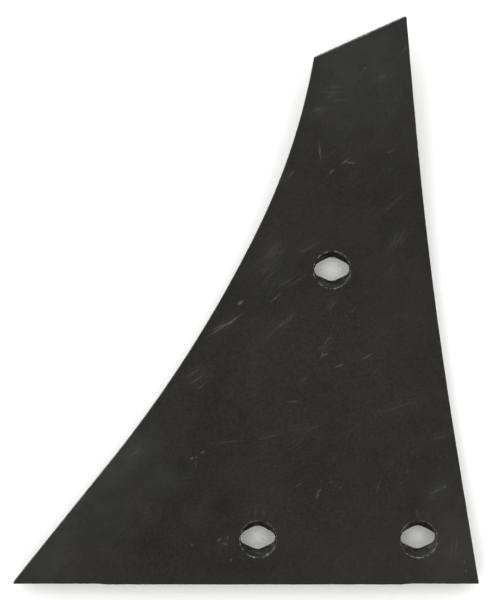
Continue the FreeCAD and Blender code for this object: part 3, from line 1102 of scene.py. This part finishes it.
@dataclass(frozen=True)
class BlackenedSteel:
    """Hot-rolled steel under a thin satin black coat.

    The coat is nearly neutral with a warm cast, so the eye sees a dark brown-grey that
    shines softly. Rubbed places show the bright steel's grey through it.
    """

    name: str
    coat: str = "#0b0a07"
    faded: str = "#2a2822"
    # The lighter tone of the rubbed hazes and of the patches, the largest of which are painted light.
    lighter_tone: str = "#323233"
    bare: str = "#8d8b86"
    # A satin oil-blackened coat lies between gloss enamel (0.1) and chalk (0.9).
    roughness: float = 0.46
    sheen_level: float = 0.33
    # Rolled plate is mottled over a hand's width. Its scale's grain is about 0.5 mm and is
    # drawn coarser to show.
    mottle: Layer = Layer(70.0, 3.0, 0.40)
    blotch: Layer = Layer(14.0, 4.0, 0.26)
    grain: Layer = Layer(1.8, 2.0, 0.68)
    grain_depth: float = 0.004
    grain_detail: float = 3.0
    # How deep a scratch is sunk, as a multiple of the grain's height.
    scratch_sink: float = 0.8
    base_fade: float = 0.23
    # Rubbing left a faint haze round each group of strokes.
    haze_share: float = 0.22
    # The lighter patches and hazes lie a little unevenly, with the blotches.
    lighter_spread: float = 1.6
    lighter_least: float = 0.2
    # Where the coat is rubbed, bare metal shows through what is left of it.
    bare_metal: float = 0.6
    # A faded coat is rougher, and a rubbed one smoother.
    faded_roughness: float = 0.10
    rubbed_roughness: float = -0.08
    # The wear on arrises and rims comes and goes every 2 mm, and marks are ragged too.
    wear: Breaks = Breaks(1.818, 3.0, (0.47, 0.66), (0.0, 0.8))
    ragged: Breaks = Breaks(1.111, 4.0, (0.34, 0.62), (0.2, 0.9))
    # The coat has come off the scale in pin-pricks about a millimetre wide, in fields.
    pricks: Breaks = Breaks(1.333, 0.0, (0.74, 0.88), (0.0, 0.13))
    prick_fields: Breaks = Breaks(50.0, 3.0, (0.48, 0.70))
    # Hairlines lie in patches, and a dense patch also makes them longer.
    hairline_patches: Breaks = Breaks(35.71, 2.0, (0.48, 0.66), (0.0, 0.32))
    patch_gain: float = 0.05
    # The real hairlines are under 0.1 mm wide and are drawn about 0.5 mm wide to show.
    hairline_softness: float = 0.16
    hairline_share: float = 0.2
    hairline_length: float = 24.0
    hairline_ways: tuple[Strokes, ...] = (
        Strokes(36.0, 0.8, 0.66),
        Strokes(52.0, 0.7, 0.68),
        Strokes(14.0, 0.75, 0.70),
    )
    marks: tuple[Mark, ...] = ()
    scuffs: tuple[Mark, ...] = ()
    # Lighter patches, the largest of them painted light.
    pale_patches_and_painted_light: tuple[Mark, ...] = ()
    shadows: tuple[Mark, ...] = ()

    def build(self) -> bpy.types.Material:
        """Makes the material's node tree.

        Returns:
            The material.
        """
        material = bpy.data.materials.new(self.name)
        material.use_nodes = True
        tree = material.node_tree
        tree.nodes.clear()
        add_node(tree, "TexCoord")
        place = tree.nodes[-1].outputs["Object"]
        place = add_node(tree, "VectorMath", {0: place, "Scale": 1 / MM}, operation="SCALE")

        colour, fade = self.coat_colour(tree, place)
        # The bare steel's share, including the highlights painted on the seats.
        rubbed = self.bare_steel_and_highlight_share(tree, place)
        colour = self.mix_colour(tree, rubbed, colour, srgb(self.bare))
        metallic = add_node(tree, "Math", {0: rubbed, 1: self.bare_metal}, operation="MULTIPLY")
        rough = self.roughness
        for share, change in ((fade, self.faded_roughness), (rubbed, self.rubbed_roughness)):
            rough = add_node(tree, "Math", {0: share, 1: change, 2: rough}, operation="MULTIPLY_ADD")
        normal = self.relief(tree, place, rubbed)
        shader = add_node(tree, "BsdfPrincipled", {
            "Base Color": colour,
            "Metallic": metallic,
            "Roughness": rough,
            "Specular IOR Level": self.sheen_level,
            "Normal": normal,
        })
        add_node(tree, "OutputMaterial", {"Surface": shader})
        return material

    @staticmethod
    def mix_colour(tree: bpy.types.NodeTree, share: bpy.types.NodeSocket,
                   first: object, second: object) -> bpy.types.NodeSocket:
        """Mixes two colours by a share and gives the mixed colour's socket."""
        add_node(tree, "Mix", {0: share, 6: first, 7: second}, data_type="RGBA")
        return tree.nodes[-1].outputs[2]

    def coat_colour(self, tree: bpy.types.NodeTree, place: bpy.types.NodeSocket
                    ) -> tuple[bpy.types.NodeSocket, bpy.types.NodeSocket]:
        """The coat's colour over the plate, and how faded it is.

        Args:
            tree: The material's node tree.
            place: The place on the plate, in millimetres.

        Returns:
            The colour's socket and the fade's socket.
        """
        layers = (self.mottle, self.blotch, self.grain)
        noises = {}
        fade = self.base_fade - sum(layer.share for layer in layers) / 2
        for layer in layers:
            noises[layer] = noise = add_node(tree, "TexNoise", {
                "Vector": place,
                "Scale": 1 / layer.width,
                "Detail": layer.detail,
            })
            fade = add_node(
                tree, "Math", {0: noise, 1: layer.share, 2: fade}, operation="MULTIPLY_ADD"
            )
        fade = self.cutter_rings(tree, place, fade)
        for shadow in self.shadows:
            spot = self.spot(tree, place, shadow, soft=True)
            fade = add_node(
                tree, "Math", {0: spot, 1: -shadow.strength, 2: fade}, operation="MULTIPLY_ADD"
            )
        fade = add_node(tree, "Clamp", {0: fade})
        colour = self.mix_colour(tree, fade, srgb(self.coat), srgb(self.faded))
        lighter_share = 0.0
        share = self.haze_share
        hazes = tuple(replace(scuff, strength=scuff.strength * share) for scuff in self.scuffs)
        # The hazes and the lighter patches, the largest of which are painted light, lighten the coat.
        for lighter_spot in self.pale_patches_and_painted_light + hazes:
            spot = self.spot(tree, place, lighter_spot, soft=True)
            lighter_share = add_node(
                tree, "Math", {0: spot, 1: lighter_spot.strength, 2: lighter_share}, operation="MULTIPLY_ADD"
            )
        uneven = add_node(tree, "Math", {
            0: noises[self.blotch], 1: self.lighter_spread, 2: self.lighter_least,
        }, operation="MULTIPLY_ADD")
        lighter_share = add_node(tree, "Math", {0: uneven, 1: lighter_share}, operation="MULTIPLY")
        lighter_share = add_node(tree, "Clamp", {0: lighter_share})
        return self.mix_colour(tree, lighter_share, colour, srgb(self.lighter_tone)), fade

    def cutter_rings(self, tree: bpy.types.NodeTree, place: bpy.types.NodeSocket,
                     fade: bpy.types.NodeSocket) -> bpy.types.NodeSocket:
        """The lighter rings that a cutter left, where one did."""
        return fade

    @staticmethod
    def attribute(tree: bpy.types.NodeTree, name: str) -> bpy.types.NodeSocket:
        """The value of one of the mesh's attributes at each place."""
        add_node(tree, "Attribute", attribute_name=name)
        return tree.nodes[-1].outputs["Fac"]

    @staticmethod
    def spot(tree: bpy.types.NodeTree, place: bpy.types.NodeSocket, mark: Mark,
             soft: bool = False) -> bpy.types.NodeSocket:
        """A long spot, one in its middle and nought at its rim.

        Args:
            tree: The material's node tree.
            place: The place on the plate, in millimetres.
            mark: The spot's place and size.
            soft: Whether it fades without a peak or a rim.

        Returns:
            The socket of the spot's strength.
        """
        mapped = add_node(tree, "Mapping", {
            "Vector": place,
            "Location": (mark.x, mark.y, 0.0),
            "Rotation": (0.0, 0.0, math.radians(mark.angle)),
            "Scale": (mark.length / 2, mark.width / 2, THROUGH),
        }, vector_type="TEXTURE")
        add_node(tree, "TexGradient", {"Vector": mapped}, gradient_type="SPHERICAL")
        spot = tree.nodes[-1].outputs["Fac"]
        return add_node(tree, "MapRange", {0: spot}, interpolation_type="SMOOTHSTEP") if soft else spot

    @staticmethod
    def broken(tree: bpy.types.NodeTree, place: bpy.types.NodeSocket, breaks: Breaks,
               factor: bpy.types.NodeSocket | None = None) -> bpy.types.NodeSocket:
        """A noise over the plate that shows between two of its levels.

        Args:
            tree: The material's node tree.
            place: The place on the plate, in millimetres.
            breaks: The noise's size, levels and shares.
            factor: What the noise is first multiplied by, if anything.

        Returns:
            The socket of the noise's share.
        """
        noise = add_node(tree, "TexNoise", {
            "Vector": place,
            "Scale": 1 / breaks.width,
            "Detail": breaks.detail,
        })
        if factor is not None:
            noise = add_node(tree, "Math", {0: factor, 1: noise}, operation="MULTIPLY")
        low, high = breaks.levels
        least, most = breaks.shares
        return add_node(tree, "MapRange", {0: noise, 1: low, 2: high, 3: least, 4: most})

    def bare_steel_and_highlight_share(self, tree: bpy.types.NodeTree,
                     place: bpy.types.NodeSocket) -> bpy.types.NodeSocket:
        """How much bare steel shows at each place: arrises, rims, scratches and marks, among them
        painted highlights on the seats.

        Args:
            tree: The material's node tree.
            place: The place on the plate, in millimetres.

        Returns:
            The share's socket, from nought to one.
        """
        bare_and_highlight = self.broken(tree, place, self.wear, self.attribute(tree, "wear"))
        ragged = self.broken(tree, place, self.ragged)
        marked = 0.0
        for mark in self.marks:
            spot = self.spot(tree, place, mark)
            spot = add_node(tree, "Math", {0: spot, 1: mark.strength}, operation="MULTIPLY")
            marked = add_node(tree, "Math", {0: spot, 1: marked}, operation="MAXIMUM")
        marked = add_node(tree, "Math", {0: ragged, 1: marked}, operation="MULTIPLY")
        for share in (self.hairlines(tree, place), self.specks(tree, place), marked):
            bare_and_highlight = add_node(tree, "Math", {0: bare_and_highlight, 1: share}, operation="MAXIMUM")
        return bare_and_highlight

    def hairlines(self, tree: bpy.types.NodeTree,
                  place: bpy.types.NodeSocket) -> bpy.types.NodeSocket:
        """Fine handling scratches that mostly run the same way, in loose patches.

        Args:
            tree: The material's node tree.
            place: The place on the plate, in millimetres.

        Returns:
            The socket of the bare steel's share in them.
        """
        patches = self.broken(tree, place, self.hairline_patches)
        for scuff in self.scuffs:
            spot = self.spot(tree, place, scuff, soft=True)
            patches = add_node(
                tree, "Math", {0: spot, 1: scuff.strength, 2: patches}, operation="MULTIPLY_ADD"
            )
        total = 0.0
        for strokes in self.hairline_ways:
            streaks = add_node(tree, "Mapping", {
                "Vector": place,
                "Rotation": (0.0, 0.0, math.radians(strokes.heading)),
                "Scale": (self.hairline_length, strokes.pitch, THROUGH),
                # Each family is drawn from another part of the noise.
                "Location": (strokes.heading, 0.0, 0.0),
            }, vector_type="TEXTURE")
            lines = add_node(tree, "TexNoise", {"Vector": streaks, "Scale": 1.0, "Detail": 1.0})
            lines = add_node(
                tree, "Math", {0: patches, 1: self.patch_gain, 2: lines}, operation="MULTIPLY_ADD"
            )
            lines = add_node(tree, "MapRange", {
                0: lines,
                1: strokes.threshold,
                2: strokes.threshold + self.hairline_softness,
                3: 0.0,
                4: self.hairline_share,
            })
            total = add_node(tree, "Math", {0: lines, 1: total}, operation="MAXIMUM")
        patches = add_node(tree, "Clamp", {0: patches})
        return add_node(tree, "Math", {0: total, 1: patches}, operation="MULTIPLY")

    def specks(self, tree: bpy.types.NodeTree, place: bpy.types.NodeSocket) -> bpy.types.NodeSocket:
        """Pin-pricks about a millimetre wide where the coat has come off the scale.

        Args:
            tree: The material's node tree.
            place: The place on the plate, in millimetres.

        Returns:
            The socket of the bare steel's share in them.
        """
        fields = self.broken(tree, place, self.prick_fields)
        pricks = self.broken(tree, place, self.pricks)
        return add_node(tree, "Math", {0: pricks, 1: fields}, operation="MULTIPLY")

    def relief(self, tree: bpy.types.NodeTree, place: bpy.types.NodeSocket,
               rubbed: bpy.types.NodeSocket) -> bpy.types.NodeSocket:
        """The surface's fine relief: grain, scratches and the marks of how it was cut.

        Args:
            tree: The material's node tree.
            place: The place on the plate, in millimetres.
            rubbed: How much bare steel shows.

        Returns:
            The bumped normal's socket.
        """
        grain = add_node(tree, "TexNoise", {
            "Vector": place,
            "Scale": 1 / self.grain.width,
            "Detail": self.grain_detail,
        })
        height = add_node(
            tree, "Math", {0: rubbed, 1: -self.scratch_sink, 2: grain}, operation="MULTIPLY_ADD"
        )
        height = self.cutting_marks(tree, place, height)
        depth = self.grain_depth * MM
        return add_node(tree, "Bump", {"Height": height, "Strength": 1.0, "Distance": depth})

    def cutting_marks(self, tree: bpy.types.NodeTree, place: bpy.types.NodeSocket,
                      height: bpy.types.NodeSocket) -> bpy.types.NodeSocket:
        """The relief that cutting left, where the surface was cut."""
        return height


@dataclass(frozen=True)
class TorchCutSteel(BlackenedSteel):
    """The blackened edge as the torch left it, lighter than the rolled face."""

    coat: str = "#201f1d"
    grain_depth: float = 0.008
    # Drag lines run from face to back, about 0.7 mm apart.
    drag_pitch: float = 0.714
    drag_length: float = 20.0
    drag_height: float = 5.0

    def cutting_marks(self, tree: bpy.types.NodeTree, place: bpy.types.NodeSocket,
                      height: bpy.types.NodeSocket) -> bpy.types.NodeSocket:
        """The relief with the torch's drag lines.

        Args:
            tree: The material's node tree.
            place: The place on the plate, in millimetres.
            height: The relief so far.

        Returns:
            The socket of the relief's height.
        """
        lines = add_node(tree, "Mapping", {
            "Vector": place,
            "Scale": (self.drag_pitch, self.drag_pitch, self.drag_length),
        }, vector_type="TEXTURE")
        drag = add_node(tree, "TexNoise", {"Vector": lines, "Scale": 1.0, "Detail": 2.0})
        return add_node(
            tree, "Math", {0: drag, 1: self.drag_height, 2: height}, operation="MULTIPLY_ADD"
        )


@dataclass(frozen=True)
class CountersinkSteelWithPaintedShade(BlackenedSteel):
    """The blackened seats and necks, turned by a cutter, with a coat painted darker than the face's as
    painted shade in the countersinks.
    """

    # Painted shade: the near-black coat makes the recessed cones look shaded.
    coat: str = "#040404"
    faded: str = "#302e2a"
    sheen_level: float = 0.13
    base_fade: float = 0.0
    grain_depth: float = 0.010
    # The cutter's chatter rings are about 0.35 mm apart and are drawn coarser to show.
    chatter_pitch: float = 0.8
    chatter_height: float = 0.8
    # Its lighter rings are broader, and break off after about 6 mm of their way.
    rings: Breaks = Breaks(1.18, 2.0, (0.44, 0.64))
    ring_length: float = 6.25
    ring_share: float = 0.8

    def cutter_rings(self, tree: bpy.types.NodeTree, place: bpy.types.NodeSocket,
                     fade: bpy.types.NodeSocket) -> bpy.types.NodeSocket:
        """How faded the coat is, with the cutter's lighter rings.

        Args:
            tree: The material's node tree.
            place: The place on the plate, in millimetres.
            fade: How faded it is without them.

        Returns:
            The fade's socket.
        """
        radius = add_node(tree, "CombineXYZ", {"Z": self.attribute(tree, "turning")})
        squeeze = self.rings.width / self.ring_length
        spun = add_node(tree, "VectorMath", {
            0: place, 1: (squeeze, squeeze, 0.0), 2: radius,
        }, operation="MULTIPLY_ADD")
        streaks = self.broken(tree, spun, self.rings)
        return add_node(
            tree, "Math", {0: streaks, 1: self.ring_share, 2: fade}, operation="MULTIPLY_ADD"
        )

    def cutting_marks(self, tree: bpy.types.NodeTree, place: bpy.types.NodeSocket,
                      height: bpy.types.NodeSocket) -> bpy.types.NodeSocket:
        """The relief with the cutter's chatter rings.

        Args:
            tree: The material's node tree.
            place: The place on the plate, in millimetres.
            height: The relief so far.

        Returns:
            The socket of the relief's height.
        """
        radius = self.attribute(tree, "turning")
        rate = math.tau / self.chatter_pitch
        rings = add_node(tree, "Math", {0: radius, 1: rate}, operation="MULTIPLY")
        rings = add_node(tree, "Math", {0: rings}, operation="SINE")
        return add_node(
            tree, "Math", {0: rings, 1: self.chatter_height, 2: height}, operation="MULTIPLY_ADD"
        )


@dataclass(frozen=True)
class Studio:
    """The pale floor, the soft lights and the camera over the plate."""

    floor_span: float = 6.0
    floor_paint: str = "#fafaf9"
    floor_roughness: float = 0.85
    # The tent of light is bright low down towards the plate's top and dim behind its
    # foot, even all round above that, and dark round the camera, as the seats, the
    # openings and the face show.
    tent_strength: float = 4.15
    dim_share: float = 0.28
    even_share: float = 0.40
    roof_share: float = 0.04
    bright_side: tuple[float, float, float] = (-0.3, 0.95, 0.0)
    # Where each change begins and ends: from the dim side to the bright one, and up to
    # the even band and the dark roof.
    side_limits: tuple[float, float] = (-0.75, 0.75)
    even_limits: tuple[float, float] = (0.35, 0.62)
    roof_limits: tuple[float, float] = (0.72, 0.93)
    key_power: float = 4.0
    key_span: float = 1.4
    key_place: tuple[float, float, float] = (-0.35, 1.5, 1.1)
    # The camera looks down on the plate from 1.2 m, tilted 4.5 degrees off the plumb.
    target: tuple[float, float, float] = (1.2, 2.85, 9.04)
    distance: float = 1200.0
    tilt: float = 4.5
    lens: float = 102.86

    def build_floor(self) -> None:
        """Lays the floor, a matt white laminate board with a faint tooth."""
        half = self.floor_span / 2
        mesh = bpy.data.meshes.new("floor")
        corners = [(-half, -half, 0), (half, -half, 0), (half, half, 0), (-half, half, 0)]
        mesh.from_pydata(corners, [], [(0, 1, 2, 3)])
        floor = bpy.data.objects.new("floor", mesh)
        bpy.context.scene.collection.objects.link(floor)
        material = bpy.data.materials.new("matt_white_laminate")
        material.use_nodes = True
        tree = material.node_tree
        tree.nodes.clear()
        shader = add_node(tree, "BsdfPrincipled", {
            "Base Color": srgb(self.floor_paint),
            "Roughness": self.floor_roughness,
        })
        add_node(tree, "OutputMaterial", {"Surface": shader})
        mesh.materials.append(material)

    def build_tent(self) -> None:
        """Sets the soft light all round: bright on one side and dark overhead."""
        world = bpy.data.worlds.new("light_tent")
        world.use_nodes = True
        tree = world.node_tree
        tree.nodes.clear()
        add_node(tree, "TexCoord")
        way = tree.nodes[-1].outputs["Generated"]
        lean = add_node(tree, "VectorMath", {0: way, 1: self.bright_side}, operation="DOT_PRODUCT")
        low, high = self.side_limits
        side = add_node(tree, "MapRange", {
            0: lean, 1: low, 2: high, 3: self.dim_share, 4: 1.0,
        }, interpolation_type="SMOOTHSTEP")
        rise = add_node(tree, "VectorMath", {0: way, 1: (0.0, 0.0, 1.0)}, operation="DOT_PRODUCT")
        low, high = self.even_limits
        even = add_node(tree, "MapRange", {
            0: rise, 1: low, 2: high, 3: 0.0, 4: 1.0,
        }, interpolation_type="SMOOTHSTEP")
        level = add_node(tree, "Mix", {0: even, 2: side, 3: self.even_share})
        low, high = self.roof_limits
        roof = add_node(tree, "MapRange", {
            0: rise, 1: low, 2: high, 3: 1.0, 4: self.roof_share,
        }, interpolation_type="SMOOTHSTEP")
        share = add_node(tree, "Math", {0: level, 1: roof}, operation="MULTIPLY")
        light = add_node(tree, "Math", {0: share, 1: self.tent_strength}, operation="MULTIPLY")
        shine = add_node(tree, "Background", {"Color": srgb("#ffffff"), "Strength": light})
        add_node(tree, "OutputWorld", {"Surface": shine})
        bpy.context.scene.world = world

    def build_key(self) -> None:
        """Hangs one large soft light beyond the plate's top."""
        lamp = bpy.data.lights.new("key", "AREA")
        lamp.shape = "SQUARE"
        lamp.size = self.key_span
        lamp.energy = self.key_power
        holder = bpy.data.objects.new("key", lamp)
        spot = Vector(self.key_place)
        holder.location = spot
        holder.rotation_euler = (-spot).to_track_quat("-Z", "Y").to_euler()
        holder.visible_camera = False
        bpy.context.scene.collection.objects.link(holder)

    def build_camera(self) -> None:
        """Sets the camera over the plate, as the photograph was taken."""
        scene = bpy.context.scene
        scene.view_settings.view_transform = "Standard"
        data = bpy.data.cameras.new("camera")
        data.lens = self.lens
        data.sensor_width = 36.0
        data.clip_end = 20.0
        camera = bpy.data.objects.new("camera", data)
        tilt = math.radians(self.tilt)
        camera.location = (
            self.target[0] * MM,
            (self.target[1] + self.distance * math.sin(tilt)) * MM,
            (self.target[2] + self.distance * math.cos(tilt)) * MM,
        )
        camera.rotation_euler = (-tilt, 0.0, 0.0)
        scene.collection.objects.link(camera)
        scene.camera = camera


HANDLING_MARKS = (
    # Scuffs between the top edge and the upper hole.
    Mark(61.6, 150.4, 4, 18, 2.2, 0.10),
    Mark(59.2, 147.0, 0, 19, 2.0, 0.10),
    Mark(65.1, 141.6, 11, 14, 2.0, 0.10),
    Mark(49.7, 135.4, 22, 11, 2.4, 0.14),
    Mark(94.1, 157.2, 20, 6, 2.4, 0.16),
    Mark(109.2, 176.4, 57, 9, 1.5, 0.22),
    Mark(31.6, 90.0, 51, 10, 1.5, 0.22),
    Mark(51.6, 106.6, -83, 15, 1.8, 0.34),
    Mark(60.0, 92.5, 50, 6, 2.0, 0.30),
    Mark(69.3, 99.7, 42, 10, 1.7, 0.30),
    Mark(72.8, 98.7, -5, 10, 1.8, 0.30),
    Mark(101.1, 106.6, 24, 8, 1.5, 0.18),
    Mark(102.2, 71.0, 38, 42, 1.3, 0.09),
    Mark(101.5, 68.3, 42, 27, 1.2, 0.08),
    # Strokes to the right of the upper hole.
    Mark(103.2, 43.8, 63, 15, 1.3, 0.16),
    Mark(106.7, 44.1, 58, 13, 1.2, 0.14),
    Mark(109.8, 44.1, 52, 10, 1.2, 0.12),
    Mark(101.7, 24.5, 55, 13, 1.2, 0.10),
    # Strokes between the upper hole and the wing edge.
    Mark(43.6, 38.9, 27, 18, 1.5, 0.17),
    Mark(18.2, 37.1, 49, 22, 5.0, 0.08),
    Mark(16.8, 19.6, 39, 15, 1.4, 0.15),
    Mark(14.4, 23.8, 45, 9, 1.4, 0.15),
    Mark(28.7, 15.4, 32, 17, 1.4, 0.16),
    Mark(36.7, 16.8, 34, 21, 1.4, 0.16),
    Mark(21.0, 4.2, 42, 12, 1.8, 0.22),
    Mark(-3.5, 1.0, 45, 6, 2.8, 0.60),
    Mark(-13.6, -14.5, 33, 38, 1.7, 0.34),
    Mark(-16.4, -15.2, 24, 17, 1.5, 0.20),
    Mark(-10.1, -12.8, 39, 9, 2.2, 0.36),
    Mark(27.0, -13.1, 40, 31, 1.3, 0.15),
    Mark(30.5, -11.3, 41, 14, 1.3, 0.13),
    # Scratches below the upper hole.
    Mark(60.6, -1.5, 50, 12, 1.4, 0.22),
    Mark(75.7, -4.3, 41, 7, 1.4, 0.15),
    Mark(57.2, -26.2, 57, 17, 1.2, 0.18),
    Mark(53.8, -36.1, 68, 9, 1.4, 0.20),
    Mark(55.9, -35.7, 27, 6, 1.8, 0.26),
    Mark(66.1, -43.5, 25, 10, 1.7, 0.30),
    Mark(85.7, -37.1, 29, 12, 1.6, 0.32),
    Mark(-36.9, -48.8, 29, 16, 1.4, 0.20),
    Mark(-33.7, -53.1, 34, 14, 1.5, 0.26),
    Mark(-30.2, -57.3, 38, 13, 1.4, 0.18),
    Mark(33.5, -69.0, 4, 12, 1.5, 0.20),
    Mark(41.5, -53.1, 25, 12, 1.4, 0.13),
    Mark(17.7, -93.8, 13, 26, 1.3, 0.12),
    Mark(-12.6, -97.7, 7, 28, 1.3, 0.12),
    Mark(47.6, -87.4, 21, 15, 1.3, 0.10),
    Mark(105.3, -73.3, 16, 36, 1.3, 0.11),
    Mark(137.1, -94.5, 14, 16, 1.4, 0.15),
    # Nicks and scratches in the lower third.
    Mark(-37.6, -109.0, 10, 4, 2.4, 0.34),
    Mark(-34.4, -108.3, 60, 3.5, 2.0, 0.26),
    Mark(-29.8, -104.7, 35, 5, 2.0, 0.26),
    Mark(-34.8, -113.2, 86, 9, 1.6, 0.14),
    Mark(-77.5, -105.2, 39, 12, 1.6, 0.14),
    Mark(51.0, -135.2, 84, 8, 2.2, 0.30),
    Mark(52.6, -132.0, 60, 4, 1.8, 0.30),
    Mark(37.5, -128.2, 30, 7, 1.6, 0.20),
    Mark(93.9, -129.0, 76, 10, 1.4, 0.18),
    Mark(134.9, -132.2, 25, 17, 1.4, 0.18),
    Mark(140.9, -129.3, 37, 4, 2.0, 0.40),
    Mark(149.2, -170.1, 83, 19, 1.3, 0.15),
    Mark(145.7, -174.3, 82, 15, 1.2, 0.10),
    Mark(-18.5, -167.0, 40, 5, 2.0, 0.30),
    Mark(-14.4, -170.0, -20, 4, 1.8, 0.34),
    Mark(-12.4, -165.2, 60, 4, 1.6, 0.26),
    Mark(-37.7, -170.7, 20, 3.5, 2.0, 0.20),
    Mark(-10.1, -181.3, 70, 4, 2.0, 0.20),
    Mark(155.0, -182.7, 80, 4, 1.6, 0.30),
    Mark(156.0, -189.1, 84, 3.5, 1.4, 0.30),
    # Drag marks that a bolt's head left above the two lower seats.
    Mark(7.2, -147.4, 88, 11, 2.4, 0.09),
    Mark(12.9, -148.6, 92, 9, 1.8, 0.07),
    Mark(121.2, -148.0, 90, 9, 2.4, 0.08),
)

# Bright dots and dashes where the burrs round the seats were rubbed through, as each
# one's bearing from the hole in degrees, its length, its width and its strength.
RIM_GLINTS = {
    "shin_hole": (
        (-110, 2.6, 1.3, 0.6),
        (-90, 4.4, 1.5, 0.9),
        (-61, 2.4, 1.1, 0.55),
        (-36, 6.5, 1.1, 0.85),
        (-16, 2.6, 1.2, 0.75),
        (20, 3.4, 1.0, 0.7),
        (135, 5.5, 1.2, 0.8),
        (155, 5.0, 1.0, 0.6),
    ),
    "wing_hole": (
        (-164, 2.4, 1.3, 0.8),
        (-148, 2.0, 1.3, 0.75),
        (-124, 2.4, 1.2, 0.6),
        (-114, 2.0, 1.3, 0.75),
        (-103, 3.0, 1.5, 0.9),
        (-72, 3.0, 1.0, 0.5),
        (-57, 2.6, 1.6, 0.55),
        (-30, 4.5, 1.1, 0.7),
        (30, 2.4, 1.0, 0.55),
        (109, 2.6, 1.3, 0.55),
        (138, 2.6, 1.3, 0.55),
    ),
    "upper_hole": (
        (-164, 2.6, 1.4, 0.8),
        (-127, 3.4, 1.4, 0.7),
        (-108, 2.4, 1.2, 0.6),
        (-80, 3.0, 1.4, 0.75),
        (-61, 3.0, 1.0, 0.5),
        (23, 4.0, 1.0, 0.6),
        (49, 4.0, 0.9, 0.5),
        (79, 4.0, 1.3, 0.8),
        (109, 4.6, 1.5, 0.85),
        (135, 4.6, 1.2, 0.8),
        (163, 2.0, 1.2, 0.7),
    ),
}

# Painted highlights: bare steel painted on the lower right of each seat's cone and rim, the side that
# turns towards the light, so that it looks lit.
PAINTED_SEAT_HIGHLIGHTS = (
    Mark(71.2, 17.3, 55, 5.0, 2.2, 0.3),
    Mark(130.5, -172.2, 50, 5.0, 2.4, 0.25),
    Mark(15.8, -177.0, 35, 4.0, 2.0, 0.25),
)

# Patches where the hairlines are dense: groups of strokes from stacking and handling.
SCUFFS = (
    Mark(56.2, 148.5, 5, 30, 20, 0.50),
    Mark(50.1, 134.8, 30, 22, 14, 0.90),
    Mark(93.9, 157.3, 20, 22, 12, 0.73),
    Mark(26.2, 88.8, 50, 20, 12, 0.67),
    Mark(43.0, 40.0, 28, 30, 13, 0.84),
    Mark(20.0, 33.7, 60, 42, 20, 0.50),
    Mark(20.8, 14.1, 40, 56, 24, 0.56),
    Mark(22.9, -15.5, 40, 64, 18, 0.45),
    Mark(105.8, 44.9, 55, 30, 18, 0.67),
    Mark(101.1, 22.5, 55, 22, 12, 0.56),
    Mark(-12.1, -12.7, 33, 46, 12, 0.67),
    Mark(59.3, 0.7, 50, 16, 8, 0.56),
    Mark(57.4, -28.9, 60, 30, 14, 0.50),
    Mark(-34.0, -51.5, 33, 34, 20, 0.62),
    Mark(40.6, -53.7, 35, 20, 14, 0.45),
    Mark(30.1, -89.1, 10, 60, 10, 0.39),
    Mark(111.7, -72.1, 15, 70, 16, 0.28),
    Mark(141.4, -90.5, 20, 24, 12, 0.56),
    Mark(136.1, -131.7, 25, 26, 14, 0.56),
    Mark(-78.5, -105.4, 39, 26, 16, 0.45),
    Mark(-13.6, -167.9, 45, 24, 16, 0.50),
    Mark(148.2, -172.8, 80, 30, 14, 0.39),
)

# Wide, faint lighter patches on the coat. The three largest are painted light: they lighten the top
# and both lower corners, where the bent face turns more towards the light. The smaller ones are faint
# lighter spots.
PALE_PATCHES_AND_PAINTED_LIGHT = (
    Mark(-112.0, -140.0, 50, 240, 110, 0.30),
    Mark(-79.2, -107.6, 35, 60, 34, 0.16),
    Mark(-55.3, -124.6, 0, 44, 34, 0.14),
    Mark(-34.1, -150.9, 30, 44, 36, 0.14),
    Mark(-140.1, -183.6, 10, 70, 36, 0.14),
    Mark(78.5, 165.5, 0, 150, 180, 0.31),
    Mark(148.2, -170.7, 80, 150, 84, 0.26),
    Mark(17.2, 34.4, 50, 54, 38, 0.12),
)

# Wide places where the coat is a little darker.
SHADOWS = (
    Mark(-48.2, -115.4, 10, 30, 18, 0.17),
    Mark(-97.7, -136.7, 30, 26, 18, 0.21),
    Mark(-111.2, -160.1, 10, 46, 24, 0.19),
    Mark(-74.4, -170.7, 0, 50, 24, 0.12),
    Mark(-15.8, -143.8, 40, 40, 26, 0.14),
    Mark(-3.7, -185.6, 0, 90, 20, 0.12),
)


def main() -> None:
    """Builds the studio and the plate."""
    logging.basicConfig(level=logging.INFO, format="%(name)s: %(message)s")
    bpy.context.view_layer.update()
    studio = Studio()
    studio.build_camera()
    studio.build_floor()
    studio.build_tent()
    studio.build_key()
    LOG.info("studio: floor, lights and camera")

    plate = ShinPlate(PlateSizes())
    dressed = plate.build()
    # The painted seat highlights, then the rubbed dashes along each hole's burr.
    glints = PAINTED_SEAT_HIGHLIGHTS
    for hole in plate.holes():
        glints += hole.glints(RIM_GLINTS[hole.name])
    finishes = {
        Zone.FACE: BlackenedSteel(
            "blackened_rolled_face", marks=HANDLING_MARKS + glints,
            scuffs=SCUFFS, pale_patches_and_painted_light=PALE_PATCHES_AND_PAINTED_LIGHT, shadows=SHADOWS,
        ),
        Zone.EDGE: TorchCutSteel("blackened_torch_cut_edge"),
        Zone.SEAT: CountersinkSteelWithPaintedShade("blackened_countersink_painted_shade", marks=glints),
        Zone.BACK: BlackenedSteel("blackened_rolled_back", mottle=Layer(45.0, 3.0, 0.40)),
    }
    for zone in Zone:
        dressed.data.materials.append(finishes[zone].build())
    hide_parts(plate.node)
    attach(dressed, plate.body)
    LOG.info("%s: %d faces, for the node %s", dressed.name, len(dressed.data.polygons), plate.node)


if __name__ == "__main__":
    main()
